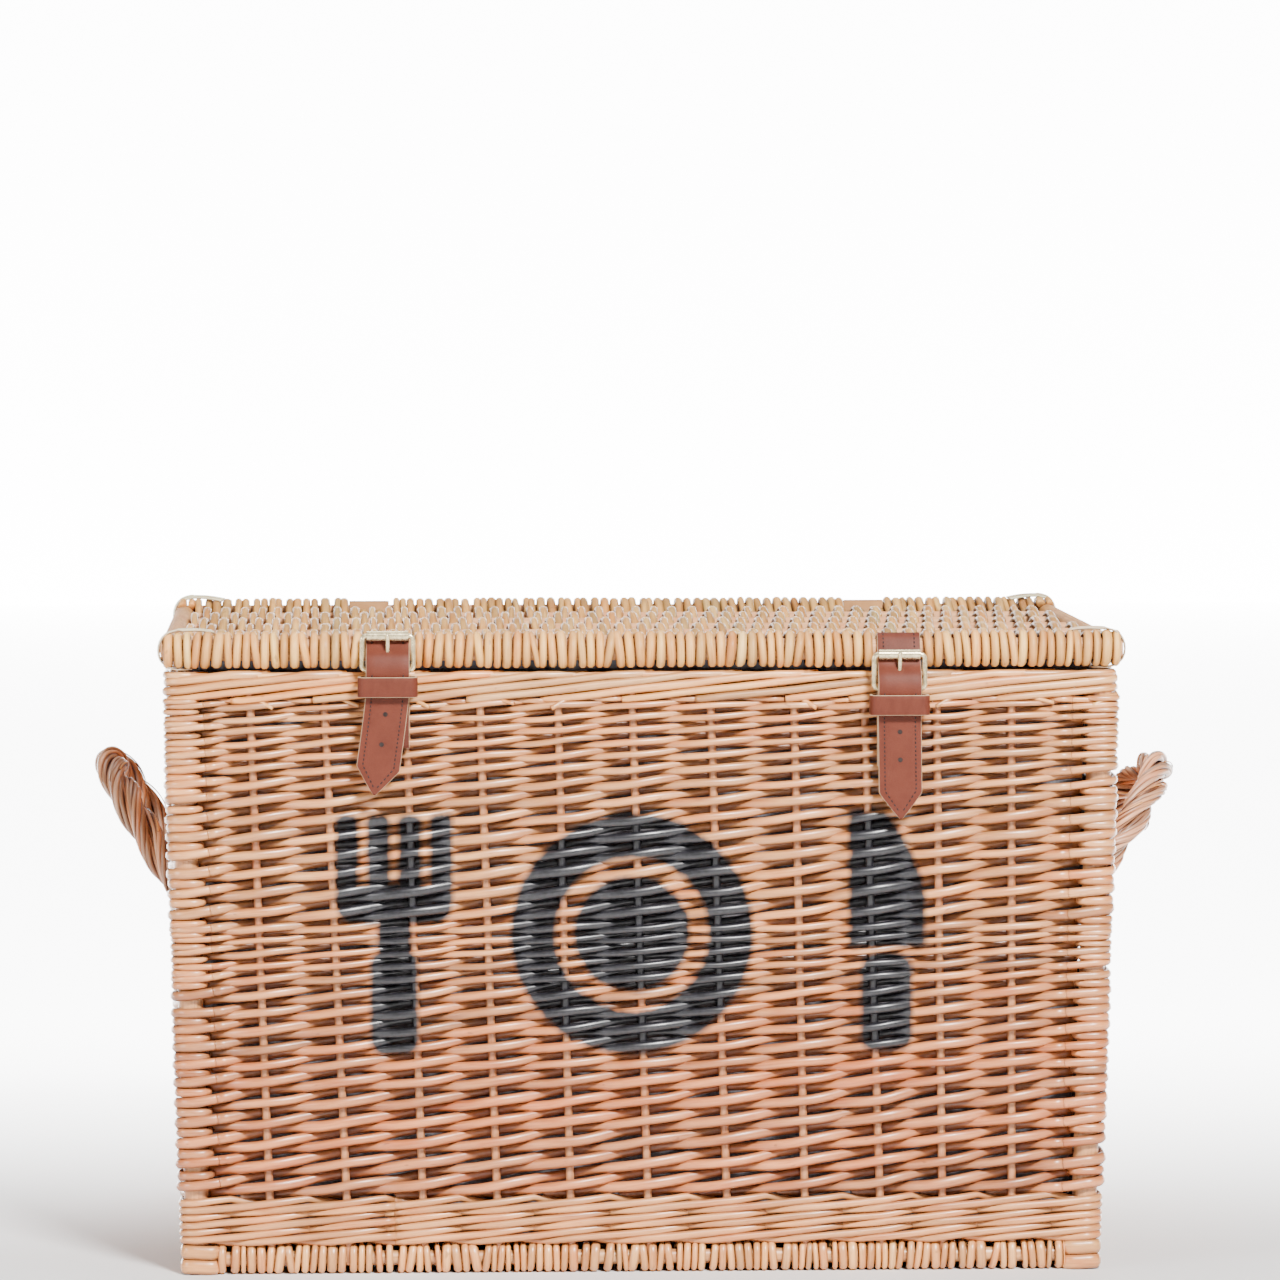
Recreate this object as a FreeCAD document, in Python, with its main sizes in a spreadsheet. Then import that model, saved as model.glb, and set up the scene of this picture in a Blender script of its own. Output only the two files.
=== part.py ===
import FreeCAD, Part
import math
import os

import Sketcher
from FreeCAD import Placement, Rotation, Vector

# Wicker picnic hamper with a hinged lid, two strap-and-buckle closures and two
# twisted-willow rope handles. Millimetres. Origin: centre of the base on the
# floor. +X to the basket's right as seen from the front, -Y is the front, +Z up.

os.makedirs("parts", exist_ok=True)
doc = FreeCAD.newDocument("picnic_hamper")

# ---------------------------------------------------------------- dimensions
sheet = doc.addObject("Spreadsheet::Sheet", "Dims")
CELLS = [
    ("body_high", 336.0, "height of the rim, top of the border"),
    ("base_half_w", 257.5, "half width at the floor"),
    ("base_half_d", 176.0, "half depth at the floor"),
    ("flare", 9.0, "how much the half width and half depth grow up to the rim"),
    ("wall", 12.0, "thickness of a woven side"),
    ("corner_band", 21.0, "width of the wrapped corner"),
    ("corner_round", 6.0, "rounding of the wrapped corner"),
    ("foot_high", 17.0, "height of the wrapped foot border"),
    ("foot_deep", 14.4, "width of the foot border in plan"),
    ("waling_top", 42.0, "top of the waling band"),
    ("border_foot", 321.0, "underside of the top border"),
    ("base_thick", 16.0, "thickness of the woven base"),
    ("stake_rad", 2.25, "radius of a stake"),
    ("stake_foot", 5.0, "lowest point of a stake"),
    ("stake_top", 328.0, "highest point of a stake"),
    ("post_rad", 7.0, "radius of a corner post"),
    ("post_foot", 3.0, "lowest point of a corner post"),
    ("post_top", 330.0, "highest point of a corner post"),
    ("base_stick_rad", 4.5, "radius of a base stick"),
    ("base_stick_half", 246.0, "half length of a base stick"),
    ("liner_inset", 15.0, "from the outside of the wall to the lining"),
    ("liner_corner", 21.5, "lining inset at the corners"),
    ("liner_thick", 1.5, "thickness of the quilted lining cloth"),
    ("liner_foot", 16.2, "underside of the lining"),
    ("liner_top", 335.0, "top edge of the lining"),
    ("lid_half_w", 269.0, "half width of the lid"),
    ("lid_half_d", 189.5, "half depth of the lid"),
    ("lid_rad", 10.5, "rounding of the lid's front and back edges, half its thickness"),
    ("lid_mid", 348.5, "height of the lid's middle plane"),
    ("lid_stick_rad", 6.0, "radius of the lid's front, back and end sticks"),
    ("lid_stick_half", 266.5, "half length of the lid's front and back sticks"),
    ("lid_inner_rad", 4.5, "radius of the lid's inner sticks"),
    ("lid_inner_half", 254.5, "half length of the lid's inner sticks"),
    ("lid_end_off", 261.5, "distance of the end sticks from the middle"),
    ("lid_end_half", 172.0, "half length of the end sticks"),
    ("strap_off", 141.5, "distance of each strap from the middle"),
    ("strap_w", 24.0, "width of strap and chape"),
    ("strap_t", 2.4, "thickness of the strap"),
    ("hinge_off", 150.0, "distance of each leather hinge from the middle"),
    ("hinge_w", 24.0, "width of a leather hinge"),
    ("hinge_t", 2.4, "thickness of a leather hinge"),
    ("wire_rad", 1.4, "radius of the buckle wire"),
    ("buckle_half_w", 14.1, "half width of the buckle frame, to the wire centre"),
    ("buckle_rise", 19.0, "hinge bar to roller, centre to centre"),
    ("bar_out", 192.0, "distance of the buckle's bars in front of the middle"),
    ("roller_rad", 2.75, "outer radius of the roller"),
    ("roller_bore", 1.5, "bore radius of the roller"),
    ("roller_w", 22.8, "length of the roller"),
    ("keeper_half_in", 14.9, "half width inside the keeper"),
    ("keeper_t", 1.6, "leather thickness of the keeper"),
    ("keeper_back", 187.0, "inside of the keeper's back run"),
    ("keeper_front", 198.6, "inside of the keeper's front run"),
    ("keeper_high", 11.0, "height of the keeper"),
    ("rivet_rad", 2.0, "radius of a chape rivet"),
    ("rope_rad", 9.75, "radius of the twisted willow rope"),
    ("knuckle_rad", 9.9, "radius of the turned-in end of each handle leg"),
    ("handle_pivot_z", 205.0, "height of the handle's pivot"),
    ("handle_pivot_x", 261.0, "distance of the handle's pivot from the middle"),
    ("handle_leg", 69.2, "half spacing of the handle's legs at the pivot"),
    ("handle_tilt", 28.0, "lean of the handle from upright, degrees"),
]
for row, (alias, value, note) in enumerate(CELLS, start=1):
    sheet.set(f"A{row}", str(value))
    sheet.setAlias(f"A{row}", alias)
    sheet.set(f"B{row}", note)
D = {alias: value for alias, value, _ in CELLS}
doc.recompute()

NODES = []


def node(obj, name):
    """Marks an object as a sub-part that is written out under this name."""
    obj.Label = name
    NODES.append(obj)
    return obj


def half_w(z):
    return f"(Dims.base_half_w + Dims.flare * ({z}) / Dims.body_high)"


def half_d(z):
    return f"(Dims.base_half_d + Dims.flare * ({z}) / Dims.body_high)"


def hx(z):
    return D["base_half_w"] + D["flare"] * z / D["body_high"]


def hy(z):
    return D["base_half_d"] + D["flare"] * z / D["body_high"]


def upright(name, x_lo, x_hi, y_lo, y_hi, z_lo, z_hi):
    """A tapered block: each side is a formula of the height, so the block follows the flare."""
    w = doc.addObject("Part::Wedge", name)
    for prop, text in (
        ("Xmin", x_lo(z_lo)),
        ("Xmax", x_hi(z_lo)),
        ("X2min", x_lo(z_hi)),
        ("X2max", x_hi(z_hi)),
        ("Zmin", f"-({y_hi(z_lo)})"),
        ("Zmax", f"-({y_lo(z_lo)})"),
        ("Z2min", f"-({y_hi(z_hi)})"),
        ("Z2max", f"-({y_lo(z_hi)})"),
        ("Ymin", z_lo),
        ("Ymax", z_hi),
    ):
        w.setExpression(prop, text)
    w.Placement = Placement(Vector(0, 0, 0), Rotation(Vector(1, 0, 0), 90))
    return w


def mitred_ring(name, width, depth, thick, z_lo, z_hi):
    """Four mitred beams that make a frame, each a solid of its own."""
    beams = []
    for k, (a, b) in enumerate(
        ((width, depth), (depth, width), (width, depth), (depth, width))
    ):
        w = doc.addObject("Part::Wedge", f"{name}_beam{k}")
        for prop, text in (
            ("Xmin", f"-{a}"),
            ("Xmax", a),
            ("X2min", f"-({a} - {thick})"),
            ("X2max", f"{a} - {thick}"),
            ("Ymin", f"-{b}"),
            ("Ymax", f"-({b} - {thick})"),
            ("Zmin", z_lo),
            ("Zmax", z_hi),
            ("Z2min", z_lo),
            ("Z2max", z_hi),
        ):
            w.setExpression(prop, text)
        w.Placement = Placement(Vector(0, 0, 0), Rotation(Vector(0, 0, 1), 90 * k))
        beams.append(w)
    ring = doc.addObject("Part::Compound", name)
    ring.Links = beams
    return ring


def rod(name, start, end, radius_alias, length_text=None):
    """A straight round rod between two points."""
    start, end = Vector(*start), Vector(*end)
    c = doc.addObject("Part::Cylinder", name)
    c.setExpression("Radius", f"Dims.{radius_alias}")
    if length_text:
        c.setExpression("Height", length_text)
    else:
        c.Height = (end - start).Length
    c.Placement = Placement(start, Rotation(Vector(0, 0, 1), end - start))
    return c


def group(name, members):
    c = doc.addObject("Part::Compound", name)
    c.Links = members
    return c


def cut(name, base, tools):
    """base less all the tools."""
    tool = tools[0] if len(tools) == 1 else group(f"{name}_tools", tools)
    c = doc.addObject("Part::Cut", name)
    c.Base = base
    c.Tool = tool
    return c


def block(name, lo, hi):
    b = doc.addObject("Part::Box", name)
    b.Length, b.Width, b.Height = (hi[i] - lo[i] for i in range(3))
    b.Placement = Placement(Vector(*lo), Rotation())
    return b


# -------------------------------------------------------------------- stakes
# Each pair is a stake's place along its side at the foot and at the rim. The
# basket is woven by hand, so they lean a little and aren't evenly spaced.
FRONT = [
    (-206, -218), (-163, -177), (-121, -132), (-79.5, -91), (-39, -47.5), (4.5, -6.4),
    (48.7, 37), (91.8, 83.6), (134.4, 122.5), (168.5, 163), (207, 205),
]  # fmt: skip
BACK = [(-205, -212), (-164, -170), (-122, -128), (-80, -84), (-40, -44), (2, -2),
        (43, 41), (85, 84), (126, 128), (167, 171), (206, 212)]  # fmt: skip
SIDE = [(-126, -131), (-86, -89), (-41, -42), (0, 1), (41, 42), (86, 89), (126, 131)]


def stakes(name, places, side):
    """A row of stakes inside one woven side. side is front, back, left or right."""
    rods = []
    z0, z1 = D["stake_foot"], D["stake_top"]
    mid = D["wall"] / 2
    for k, (foot, rim) in enumerate(places):
        # the listed places are at the floor and at the rim
        a = foot + (rim - foot) * z0 / D["body_high"]
        b = foot + (rim - foot) * z1 / D["body_high"]
        if side in ("front", "back"):
            s = -1 if side == "front" else 1
            p, q = (a, s * (hy(z0) - mid), z0), (b, s * (hy(z1) - mid), z1)
        else:
            s = -1 if side == "left" else 1
            p, q = (s * (hx(z0) - mid), a, z0), (s * (hx(z1) - mid), b, z1)
        slant = (Vector(*q) - Vector(*p)).Length / (z1 - z0)
        rods.append(
            rod(
                f"{name}_{k + 1}",
                p,
                q,
                "stake_rad",
                f"(Dims.stake_top - Dims.stake_foot) * {slant:.9f}",
            )
        )
    return node(group(name, rods), name)


front_stakes = stakes("front_stakes", FRONT, "front")
back_stakes = stakes("back_stakes", BACK, "back")
left_stakes = stakes("left_stakes", SIDE, "left")
right_stakes = stakes("right_stakes", SIDE, "right")

# -------------------------------------------------------------- corner posts
POSTS = {}
for label, sx, sy in (
    ("front_left", -1, -1),
    ("front_right", 1, -1),
    ("back_left", -1, 1),
    ("back_right", 1, 1),
):
    z0, z1 = D["post_foot"], D["post_top"]
    off = D["corner_band"] / 2
    p = (sx * (hx(z0) - off), sy * (hy(z0) - off), z0)
    q = (sx * (hx(z1) - off), sy * (hy(z1) - off), z1)
    slant = (Vector(*q) - Vector(*p)).Length / (z1 - z0)
    POSTS[label] = node(
        rod(
            f"corner_post_{label}",
            p,
            q,
            "post_rad",
            f"(Dims.post_top - Dims.post_foot) * {slant:.9f}",
        ),
        f"corner_post_{label}",
    )
    lo_x = (lambda z: f"-{half_w(z)}") if sx < 0 else (lambda z: f"{half_w(z)} - Dims.corner_band")
    hi_x = (lambda z: f"-{half_w(z)} + Dims.corner_band") if sx < 0 else (lambda z: half_w(z))
    lo_y = (lambda z: f"-{half_d(z)}") if sy < 0 else (lambda z: f"{half_d(z)} - Dims.corner_band")
    hi_y = (lambda z: f"-{half_d(z)} + Dims.corner_band") if sy < 0 else (lambda z: half_d(z))
    raw = upright(
        f"wrap_block_{label}", lo_x, hi_x, lo_y, hi_y, "Dims.foot_high", "Dims.border_foot"
    )
    doc.recompute()
    # the upright edge on the outside of the corner is rounded
    zm = (D["foot_high"] + D["border_foot"]) / 2
    target = Vector(sx * hx(zm), sy * hy(zm), zm)
    edge_no = min(
        range(len(raw.Shape.Edges)),
        key=lambda k: (raw.Shape.Edges[k].CenterOfMass - target).Length,
    )
    rounded = doc.addObject("Part::Fillet", f"wrap_round_{label}")
    rounded.Base = raw
    rounded.Edges = [(edge_no + 1, D["corner_round"], D["corner_round"])]
    doc.recompute()
    node(cut(f"corner_wrap_{label}", rounded, [POSTS[label]]), f"corner_wrap_{label}")

ALL_STAKES = [front_stakes, back_stakes, left_stakes, right_stakes]
ALL_POSTS = list(POSTS.values())

# ---------------------------------------------------------------------- base
base_sticks = node(
    group(
        "base_sticks",
        [
            rod(
                f"base_stick_{k + 1}",
                (-D["base_stick_half"], y, D["base_thick"] / 2),
                (D["base_stick_half"], y, D["base_thick"] / 2),
                "base_stick_rad",
                "2 * Dims.base_stick_half",
            )
            for k, y in enumerate((-141, -94, -47, 0, 47, 94, 141))
        ],
    ),
    "base_sticks",
)
base_slab = upright(
    "base_slab",
    lambda z: "-(Dims.base_half_w - Dims.foot_deep)",
    lambda z: "Dims.base_half_w - Dims.foot_deep",
    lambda z: "-(Dims.base_half_d - Dims.foot_deep)",
    lambda z: "Dims.base_half_d - Dims.foot_deep",
    "0 * Dims.base_thick",
    "Dims.base_thick",
)
node(cut("base_weave", base_slab, [base_sticks] + ALL_POSTS), "base_weave")
foot_ring = mitred_ring(
    "foot_ring",
    "Dims.base_half_w",
    "Dims.base_half_d",
    "Dims.foot_deep",
    "0 * Dims.foot_high",
    "Dims.foot_high",
)
node(cut("foot_border", foot_ring, ALL_STAKES + ALL_POSTS + [base_sticks]), "foot_border")


# -------------------------------------------------------------- woven sides
def side_block(name, side, z_lo, z_hi):
    """The part of one woven side between two heights, from corner to corner."""
    band, wall = "Dims.corner_band", "Dims.wall"
    if side == "front":
        f = (
            lambda z: f"-({half_w(z)} - {band})",
            lambda z: f"{half_w(z)} - {band}",
            lambda z: f"-{half_d(z)}",
            lambda z: f"-({half_d(z)} - {wall})",
        )
    elif side == "back":
        f = (
            lambda z: f"-({half_w(z)} - {band})",
            lambda z: f"{half_w(z)} - {band}",
            lambda z: f"{half_d(z)} - {wall}",
            lambda z: half_d(z),
        )
    elif side == "left":
        f = (
            lambda z: f"-{half_w(z)}",
            lambda z: f"-({half_w(z)} - {wall})",
            lambda z: f"-({half_d(z)} - {band})",
            lambda z: f"{half_d(z)} - {band}",
        )
    else:
        f = (
            lambda z: f"{half_w(z)} - {wall}",
            lambda z: half_w(z),
            lambda z: f"-({half_d(z)} - {band})",
            lambda z: f"{half_d(z)} - {band}",
        )
    return upright(name, *f, z_lo, z_hi)


OWN = {
    "front": front_stakes,
    "back": back_stakes,
    "left": left_stakes,
    "right": right_stakes,
}
waling = group(
    "waling_ring",
    [
        side_block(f"waling_{side}", side, "Dims.foot_high", "Dims.waling_top")
        for side in OWN
    ],
)
node(cut("waling_band", waling, ALL_STAKES), "waling_band")

# ------------------------------------------------------------- the closures
# One closure's numbers: which side of the middle, and the height of the hinge
# bar. The right-hand buckle sits one strap hole lower than the left-hand one.
CLOSURES = {"left": (-D["strap_off"], 338.0), "right": (D["strap_off"], 327.0)}
STICK_Y = D["lid_half_d"] - D["lid_rad"]  # distance of the lid's edge sticks
STICK_Z = D["lid_mid"]

rivets = {}
for label, (cx, bar_z) in CLOSURES.items():
    out = D["bar_out"]
    rz = bar_z - 34.0
    # the rivet: a shank through chape and weave, a head in front and a burr inside
    shank = doc.addObject("Part::Cylinder", f"rivet_shank_{label}")
    shank.setExpression("Radius", "Dims.rivet_rad")
    shank.Height = 191.0 - 170.5
    shank.Placement = Placement(
        Vector(cx, -191.0, rz), Rotation(Vector(0, 0, 1), Vector(0, 1, 0))
    )
    head = doc.addObject("Part::Cone", f"rivet_head_{label}")
    head.Radius1, head.Radius2, head.Height = 4.0, 3.0, 1.0
    head.Placement = Placement(
        Vector(cx, -191.0, rz), Rotation(Vector(0, 0, 1), Vector(0, -1, 0))
    )
    burr = doc.addObject("Part::Cylinder", f"rivet_burr_{label}")
    burr.Radius, burr.Height = 4.0, 0.9
    burr.Placement = Placement(
        Vector(cx, -171.4, rz), Rotation(Vector(0, 0, 1), Vector(0, 1, 0))
    )
    fuse = doc.addObject("Part::MultiFuse", f"chape_rivet_{label}")
    fuse.Shapes = [shank, head, burr]
    rivets[label] = node(fuse, f"chape_rivet_{label}")

# ------------------------------------------------------ leather hinge loops
HINGES = {"left": -D["hinge_off"], "right": D["hinge_off"]}
hinge_slots = []
loop_slots = []
for label, cx in HINGES.items():
    body = doc.addObject("PartDesign::Body", f"hinge_body_{label}")
    sk = body.newObject("Sketcher::SketchObject", f"hinge_sketch_{label}")
    plane = [f for f in body.Origin.OriginFeatures if f.Role == "YZ_Plane"][0]
    sk.AttachmentSupport = [(plane, "")]
    sk.MapMode = "FlatFace"
    # a loop round the lid's back stick and round the back of the top border
    low = D["border_foot"] - 0.2
    for r, floor in ((6.1, low), (6.1 + D["hinge_t"], low - D["hinge_t"])):
        n = sk.GeometryCount
        y0, y1 = STICK_Y - r, STICK_Y + r
        sk.addGeometry(
            Part.ArcOfCircle(
                Part.Circle(Vector(STICK_Y, STICK_Z, 0), Vector(0, 0, 1), r), 0, math.pi
            )
        )
        sk.addGeometry(Part.LineSegment(Vector(y0, STICK_Z, 0), Vector(y0, floor, 0)))
        sk.addGeometry(Part.LineSegment(Vector(y0, floor, 0), Vector(y1, floor, 0)))
        sk.addGeometry(Part.LineSegment(Vector(y1, floor, 0), Vector(y1, STICK_Z, 0)))
        sk.addConstraint(Sketcher.Constraint("Coincident", n, 2, n + 1, 1))
        sk.addConstraint(Sketcher.Constraint("Coincident", n + 1, 2, n + 2, 1))
        sk.addConstraint(Sketcher.Constraint("Coincident", n + 2, 2, n + 3, 1))
        sk.addConstraint(Sketcher.Constraint("Coincident", n + 3, 2, n, 1))
        sk.addConstraint(Sketcher.Constraint("Vertical", n + 1))
        sk.addConstraint(Sketcher.Constraint("Vertical", n + 3))
        sk.addConstraint(Sketcher.Constraint("Horizontal", n + 2))
        # the arc's ends are level with its centre
        sk.addConstraint(Sketcher.Constraint("Horizontal", n, 1, n, 3))
        sk.addConstraint(Sketcher.Constraint("Horizontal", n, 2, n, 3))
        c = sk.addConstraint(Sketcher.Constraint("Radius", n, r))
        if r > 6.2:
            sk.setExpression(f"Constraints[{c}]", "6.1 + Dims.hinge_t")
        c = sk.addConstraint(Sketcher.Constraint("DistanceX", n, 3, STICK_Y))
        sk.setExpression(f"Constraints[{c}]", "Dims.lid_half_d - Dims.lid_rad")
        c = sk.addConstraint(Sketcher.Constraint("DistanceY", n, 3, STICK_Z))
        sk.setExpression(f"Constraints[{c}]", "Dims.lid_mid")
        c = sk.addConstraint(Sketcher.Constraint("DistanceY", n + 1, 2, floor))
        sk.setExpression(
            f"Constraints[{c}]",
            "Dims.border_foot - 0.2"
            if r < 6.2
            else "Dims.border_foot - 0.2 - Dims.hinge_t",
        )
    pad = body.newObject("PartDesign::Pad", f"hinge_pad_{label}")
    pad.Profile = sk
    pad.SideType = "Symmetric"
    pad.setExpression("Length", "Dims.hinge_w")
    body.Tip = pad
    body.Placement = Placement(Vector(cx, 0, 0), Rotation())
    node(body, f"hinge_loop_{label}")
    w = D["hinge_w"] / 2 + 0.6
    hinge_slots.append(
        block(f"lid_hinge_slot_{label}", (cx - w, 166.0, 330.0), (cx + w, 200.0, 370.0))
    )
    w = D["hinge_w"] / 2 + 0.3
    loop_slots.append(
        block(f"body_hinge_slot_{label}", (cx - w, 168.0, 316.5), (cx + w, 189.0, 323.0))
    )

# ------------------------------------------------------------ handle pockets
pockets = {"left": [], "right": []}
for label, s in (("left", -1), ("right", 1)):
    for k, sy in enumerate((-1, 1)):
        x0, x1 = sorted((s * 240.0, s * 275.0))
        y0, y1 = sorted((sy * 50.5, sy * 80.2))
        pockets[label].append(
            block(f"handle_pocket_{label}_{k}", (x0, y0, 194.5), (x1, y1, 247.0))
        )

for side in OWN:
    raw = side_block(f"{side}_block", side, "Dims.waling_top", "Dims.border_foot")
    tools = [OWN[side]]
    if side == "front":
        tools += [rivets["left"], rivets["right"]]
    if side == "back":
        tools += loop_slots
    if side in pockets:
        tools += pockets[side]
    node(cut(f"{side}_weave", raw, tools), f"{side}_weave")

# ---------------------------------------------------------------- top border
border_ring = mitred_ring(
    "border_ring",
    "(Dims.base_half_w + Dims.flare)",
    "(Dims.base_half_d + Dims.flare)",
    "Dims.wall",
    "Dims.border_foot",
    "Dims.body_high",
)
# the left closure's rivet and the corner posts reach up into the border
node(cut("top_border", border_ring, ALL_STAKES + ALL_POSTS), "top_border")


# -------------------------------------------------------------------- lining
def lining_block(name, inset, corner, z_lo, z_hi):
    wide = upright(
        f"{name}_wide",
        lambda z: f"-({half_w(z)} - {inset})",
        lambda z: f"{half_w(z)} - {inset}",
        lambda z: f"-({half_d(z)} - {corner})",
        lambda z: f"{half_d(z)} - {corner}",
        z_lo,
        z_hi,
    )
    deep = upright(
        f"{name}_deep",
        lambda z: f"-({half_w(z)} - {corner})",
        lambda z: f"{half_w(z)} - {corner}",
        lambda z: f"-({half_d(z)} - {inset})",
        lambda z: f"{half_d(z)} - {inset}",
        z_lo,
        z_hi,
    )
    f = doc.addObject("Part::Fuse", name)
    f.Base, f.Tool = wide, deep
    return f


lining_out = lining_block(
    "lining_outside", "Dims.liner_inset", "Dims.liner_corner", "Dims.liner_foot", "Dims.liner_top"
)
lining_in = lining_block(
    "lining_inside",
    "(Dims.liner_inset + Dims.liner_thick)",
    "(Dims.liner_corner + Dims.liner_thick)",
    "(Dims.liner_foot + Dims.liner_thick)",
    "(Dims.liner_top + 1)",
)
node(cut("cloth_lining", lining_out, [lining_in]), "cloth_lining")

# ----------------------------------------------------------------------- lid
lid_front_stick = node(
    rod(
        "lid_front_stick",
        (-D["lid_stick_half"], -STICK_Y, STICK_Z),
        (D["lid_stick_half"], -STICK_Y, STICK_Z),
        "lid_stick_rad",
        "2 * Dims.lid_stick_half",
    ),
    "lid_front_stick",
)
lid_back_stick = node(
    rod(
        "lid_back_stick",
        (-D["lid_stick_half"], STICK_Y, STICK_Z),
        (D["lid_stick_half"], STICK_Y, STICK_Z),
        "lid_stick_rad",
        "2 * Dims.lid_stick_half",
    ),
    "lid_back_stick",
)
lid_inner_sticks = node(
    group(
        "lid_inner_sticks",
        [
            rod(
                f"lid_inner_stick_{k + 1}",
                (-D["lid_inner_half"], y, STICK_Z),
                (D["lid_inner_half"], y, STICK_Z),
                "lid_inner_rad",
                "2 * Dims.lid_inner_half",
            )
            for k, y in enumerate((-119.3, -59.7, 0, 59.7, 119.3))
        ],
    ),
    "lid_inner_sticks",
)
lid_end_sticks = node(
    group(
        "lid_end_sticks",
        [
            rod(
                f"lid_end_stick_{k + 1}",
                (x, -D["lid_end_half"], STICK_Z),
                (x, D["lid_end_half"], STICK_Z),
                "lid_stick_rad",
                "2 * Dims.lid_end_half",
            )
            for k, x in enumerate((-D["lid_end_off"], D["lid_end_off"]))
        ],
    ),
    "lid_end_sticks",
)

# the woven field with its rounded front and back edges, as one profile
lid_body = doc.addObject("PartDesign::Body", "lid_field")
sk = lid_body.newObject("Sketcher::SketchObject", "lid_profile")
plane = [f for f in lid_body.Origin.OriginFeatures if f.Role == "YZ_Plane"][0]
sk.AttachmentSupport = [(plane, "")]
sk.MapMode = "FlatFace"
R = D["lid_rad"]
sk.addGeometry(
    Part.ArcOfCircle(
        Part.Circle(Vector(STICK_Y, STICK_Z, 0), Vector(0, 0, 1), R), -math.pi / 2, math.pi / 2
    )
)
sk.addGeometry(
    Part.LineSegment(Vector(STICK_Y, STICK_Z + R, 0), Vector(-STICK_Y, STICK_Z + R, 0))
)
sk.addGeometry(
    Part.ArcOfCircle(
        Part.Circle(Vector(-STICK_Y, STICK_Z, 0), Vector(0, 0, 1), R),
        math.pi / 2,
        3 * math.pi / 2,
    )
)
sk.addGeometry(
    Part.LineSegment(Vector(-STICK_Y, STICK_Z - R, 0), Vector(STICK_Y, STICK_Z - R, 0))
)
for a, b in ((0, 1), (1, 2), (2, 3), (3, 0)):
    sk.addConstraint(Sketcher.Constraint("Tangent", a, 2, b, 1))
c = sk.addConstraint(Sketcher.Constraint("Radius", 0, R))
sk.setExpression(f"Constraints[{c}]", "Dims.lid_rad")
sk.addConstraint(Sketcher.Constraint("Equal", 0, 2))
c = sk.addConstraint(Sketcher.Constraint("DistanceX", 0, 3, STICK_Y))
sk.setExpression(f"Constraints[{c}]", "Dims.lid_half_d - Dims.lid_rad")
c = sk.addConstraint(Sketcher.Constraint("DistanceX", 2, 3, 0, 3, 2 * STICK_Y))
sk.setExpression(f"Constraints[{c}]", "2 * (Dims.lid_half_d - Dims.lid_rad)")
c = sk.addConstraint(Sketcher.Constraint("DistanceY", 0, 3, STICK_Z))
sk.setExpression(f"Constraints[{c}]", "Dims.lid_mid")
pad = lid_body.newObject("PartDesign::Pad", "lid_pad")
pad.Profile = sk
pad.SideType = "Symmetric"
pad.setExpression("Length", "2 * Dims.lid_half_w")
lid_body.Tip = pad
doc.recompute()
strap_slots = [
    block(f"lid_strap_slot_{label}", (cx - 13.5, -200.0, 330.0), (cx + 16.0, -168.0, 370.0))
    for label, (cx, _) in CLOSURES.items()
]
lid_weave = node(
    cut(
        "lid_weave",
        lid_body,
        strap_slots
        + hinge_slots
        + [lid_front_stick, lid_back_stick, lid_inner_sticks, lid_end_sticks],
    ),
    "lid_weave",
)

# a split-willow skein binds each corner of the lid: a flat strip bent round its end
skeins = []
for sx in (-1, 1):
    for sy in (-1, 1):
        x_out, top, bottom = D["lid_half_w"], STICK_Z + R, STICK_Z - R
        w = 1.0
        pts = [
            (x_out - 18, bottom), (x_out - 18, bottom - w), (x_out + 0.1, bottom - w),
            (x_out + w, bottom + 1), (x_out + w, top - 1), (x_out + 0.1, top + w),
            (x_out - 34, top + w), (x_out - 34, top), (x_out, top), (x_out, bottom),
            (x_out - 18, bottom),
        ]  # fmt: skip
        y = sy * 174.0 - 2.5
        wire = Part.makePolygon([Vector(sx * a, y, z) for a, z in pts])
        skeins.append(Part.Face(wire).extrude(Vector(0, 5.0, 0)))
skein = doc.addObject("Part::Feature", "lid_corner_skeins")
skein.Shape = Part.makeCompound(skeins)
node(skein, "lid_corner_skeins")


# --------------------------------------------------------------- the buckles
def smooth(points, steps):
    """Points along a smooth curve through the given ones, in the y-z plane."""
    curve = Part.BSplineCurve()
    curve.interpolate([Vector(0, y, z) for y, z in points])
    first, last = curve.FirstParameter, curve.LastParameter
    out = []
    for k in range(steps + 1):
        u = first + (last - first) * k / steps
        p, t = curve.value(u), curve.tangent(u)[0]
        out.append((p, Vector(0, t.y, t.z).normalize()))
    return out


def ribbon(points, steps, thick, x_lo, x_hi):
    """A flat strip of leather that follows the points."""
    run = smooth(points, steps)
    one = [p + Vector(0, -t.z, t.y) * (thick / 2) for p, t in run]
    two = [p - Vector(0, -t.z, t.y) * (thick / 2) for p, t in run]
    ring = one + two[::-1]
    ring.append(ring[0])
    face = Part.Face(Part.makePolygon(ring))
    face.translate(Vector(x_lo, 0, 0))
    return face.extrude(Vector(x_hi - x_lo, 0, 0))


def ring_x(x, y, z, outer, inner, length):
    """A short tube along x, centred on the point."""
    start = Vector(x - length / 2, y, z)
    tube = Part.makeCylinder(outer, length, start, Vector(1, 0, 0))
    if inner:
        tube = tube.cut(
            Part.makeCylinder(inner, length + 2, start - Vector(1, 0, 0), Vector(1, 0, 0))
        )
    return tube


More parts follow.
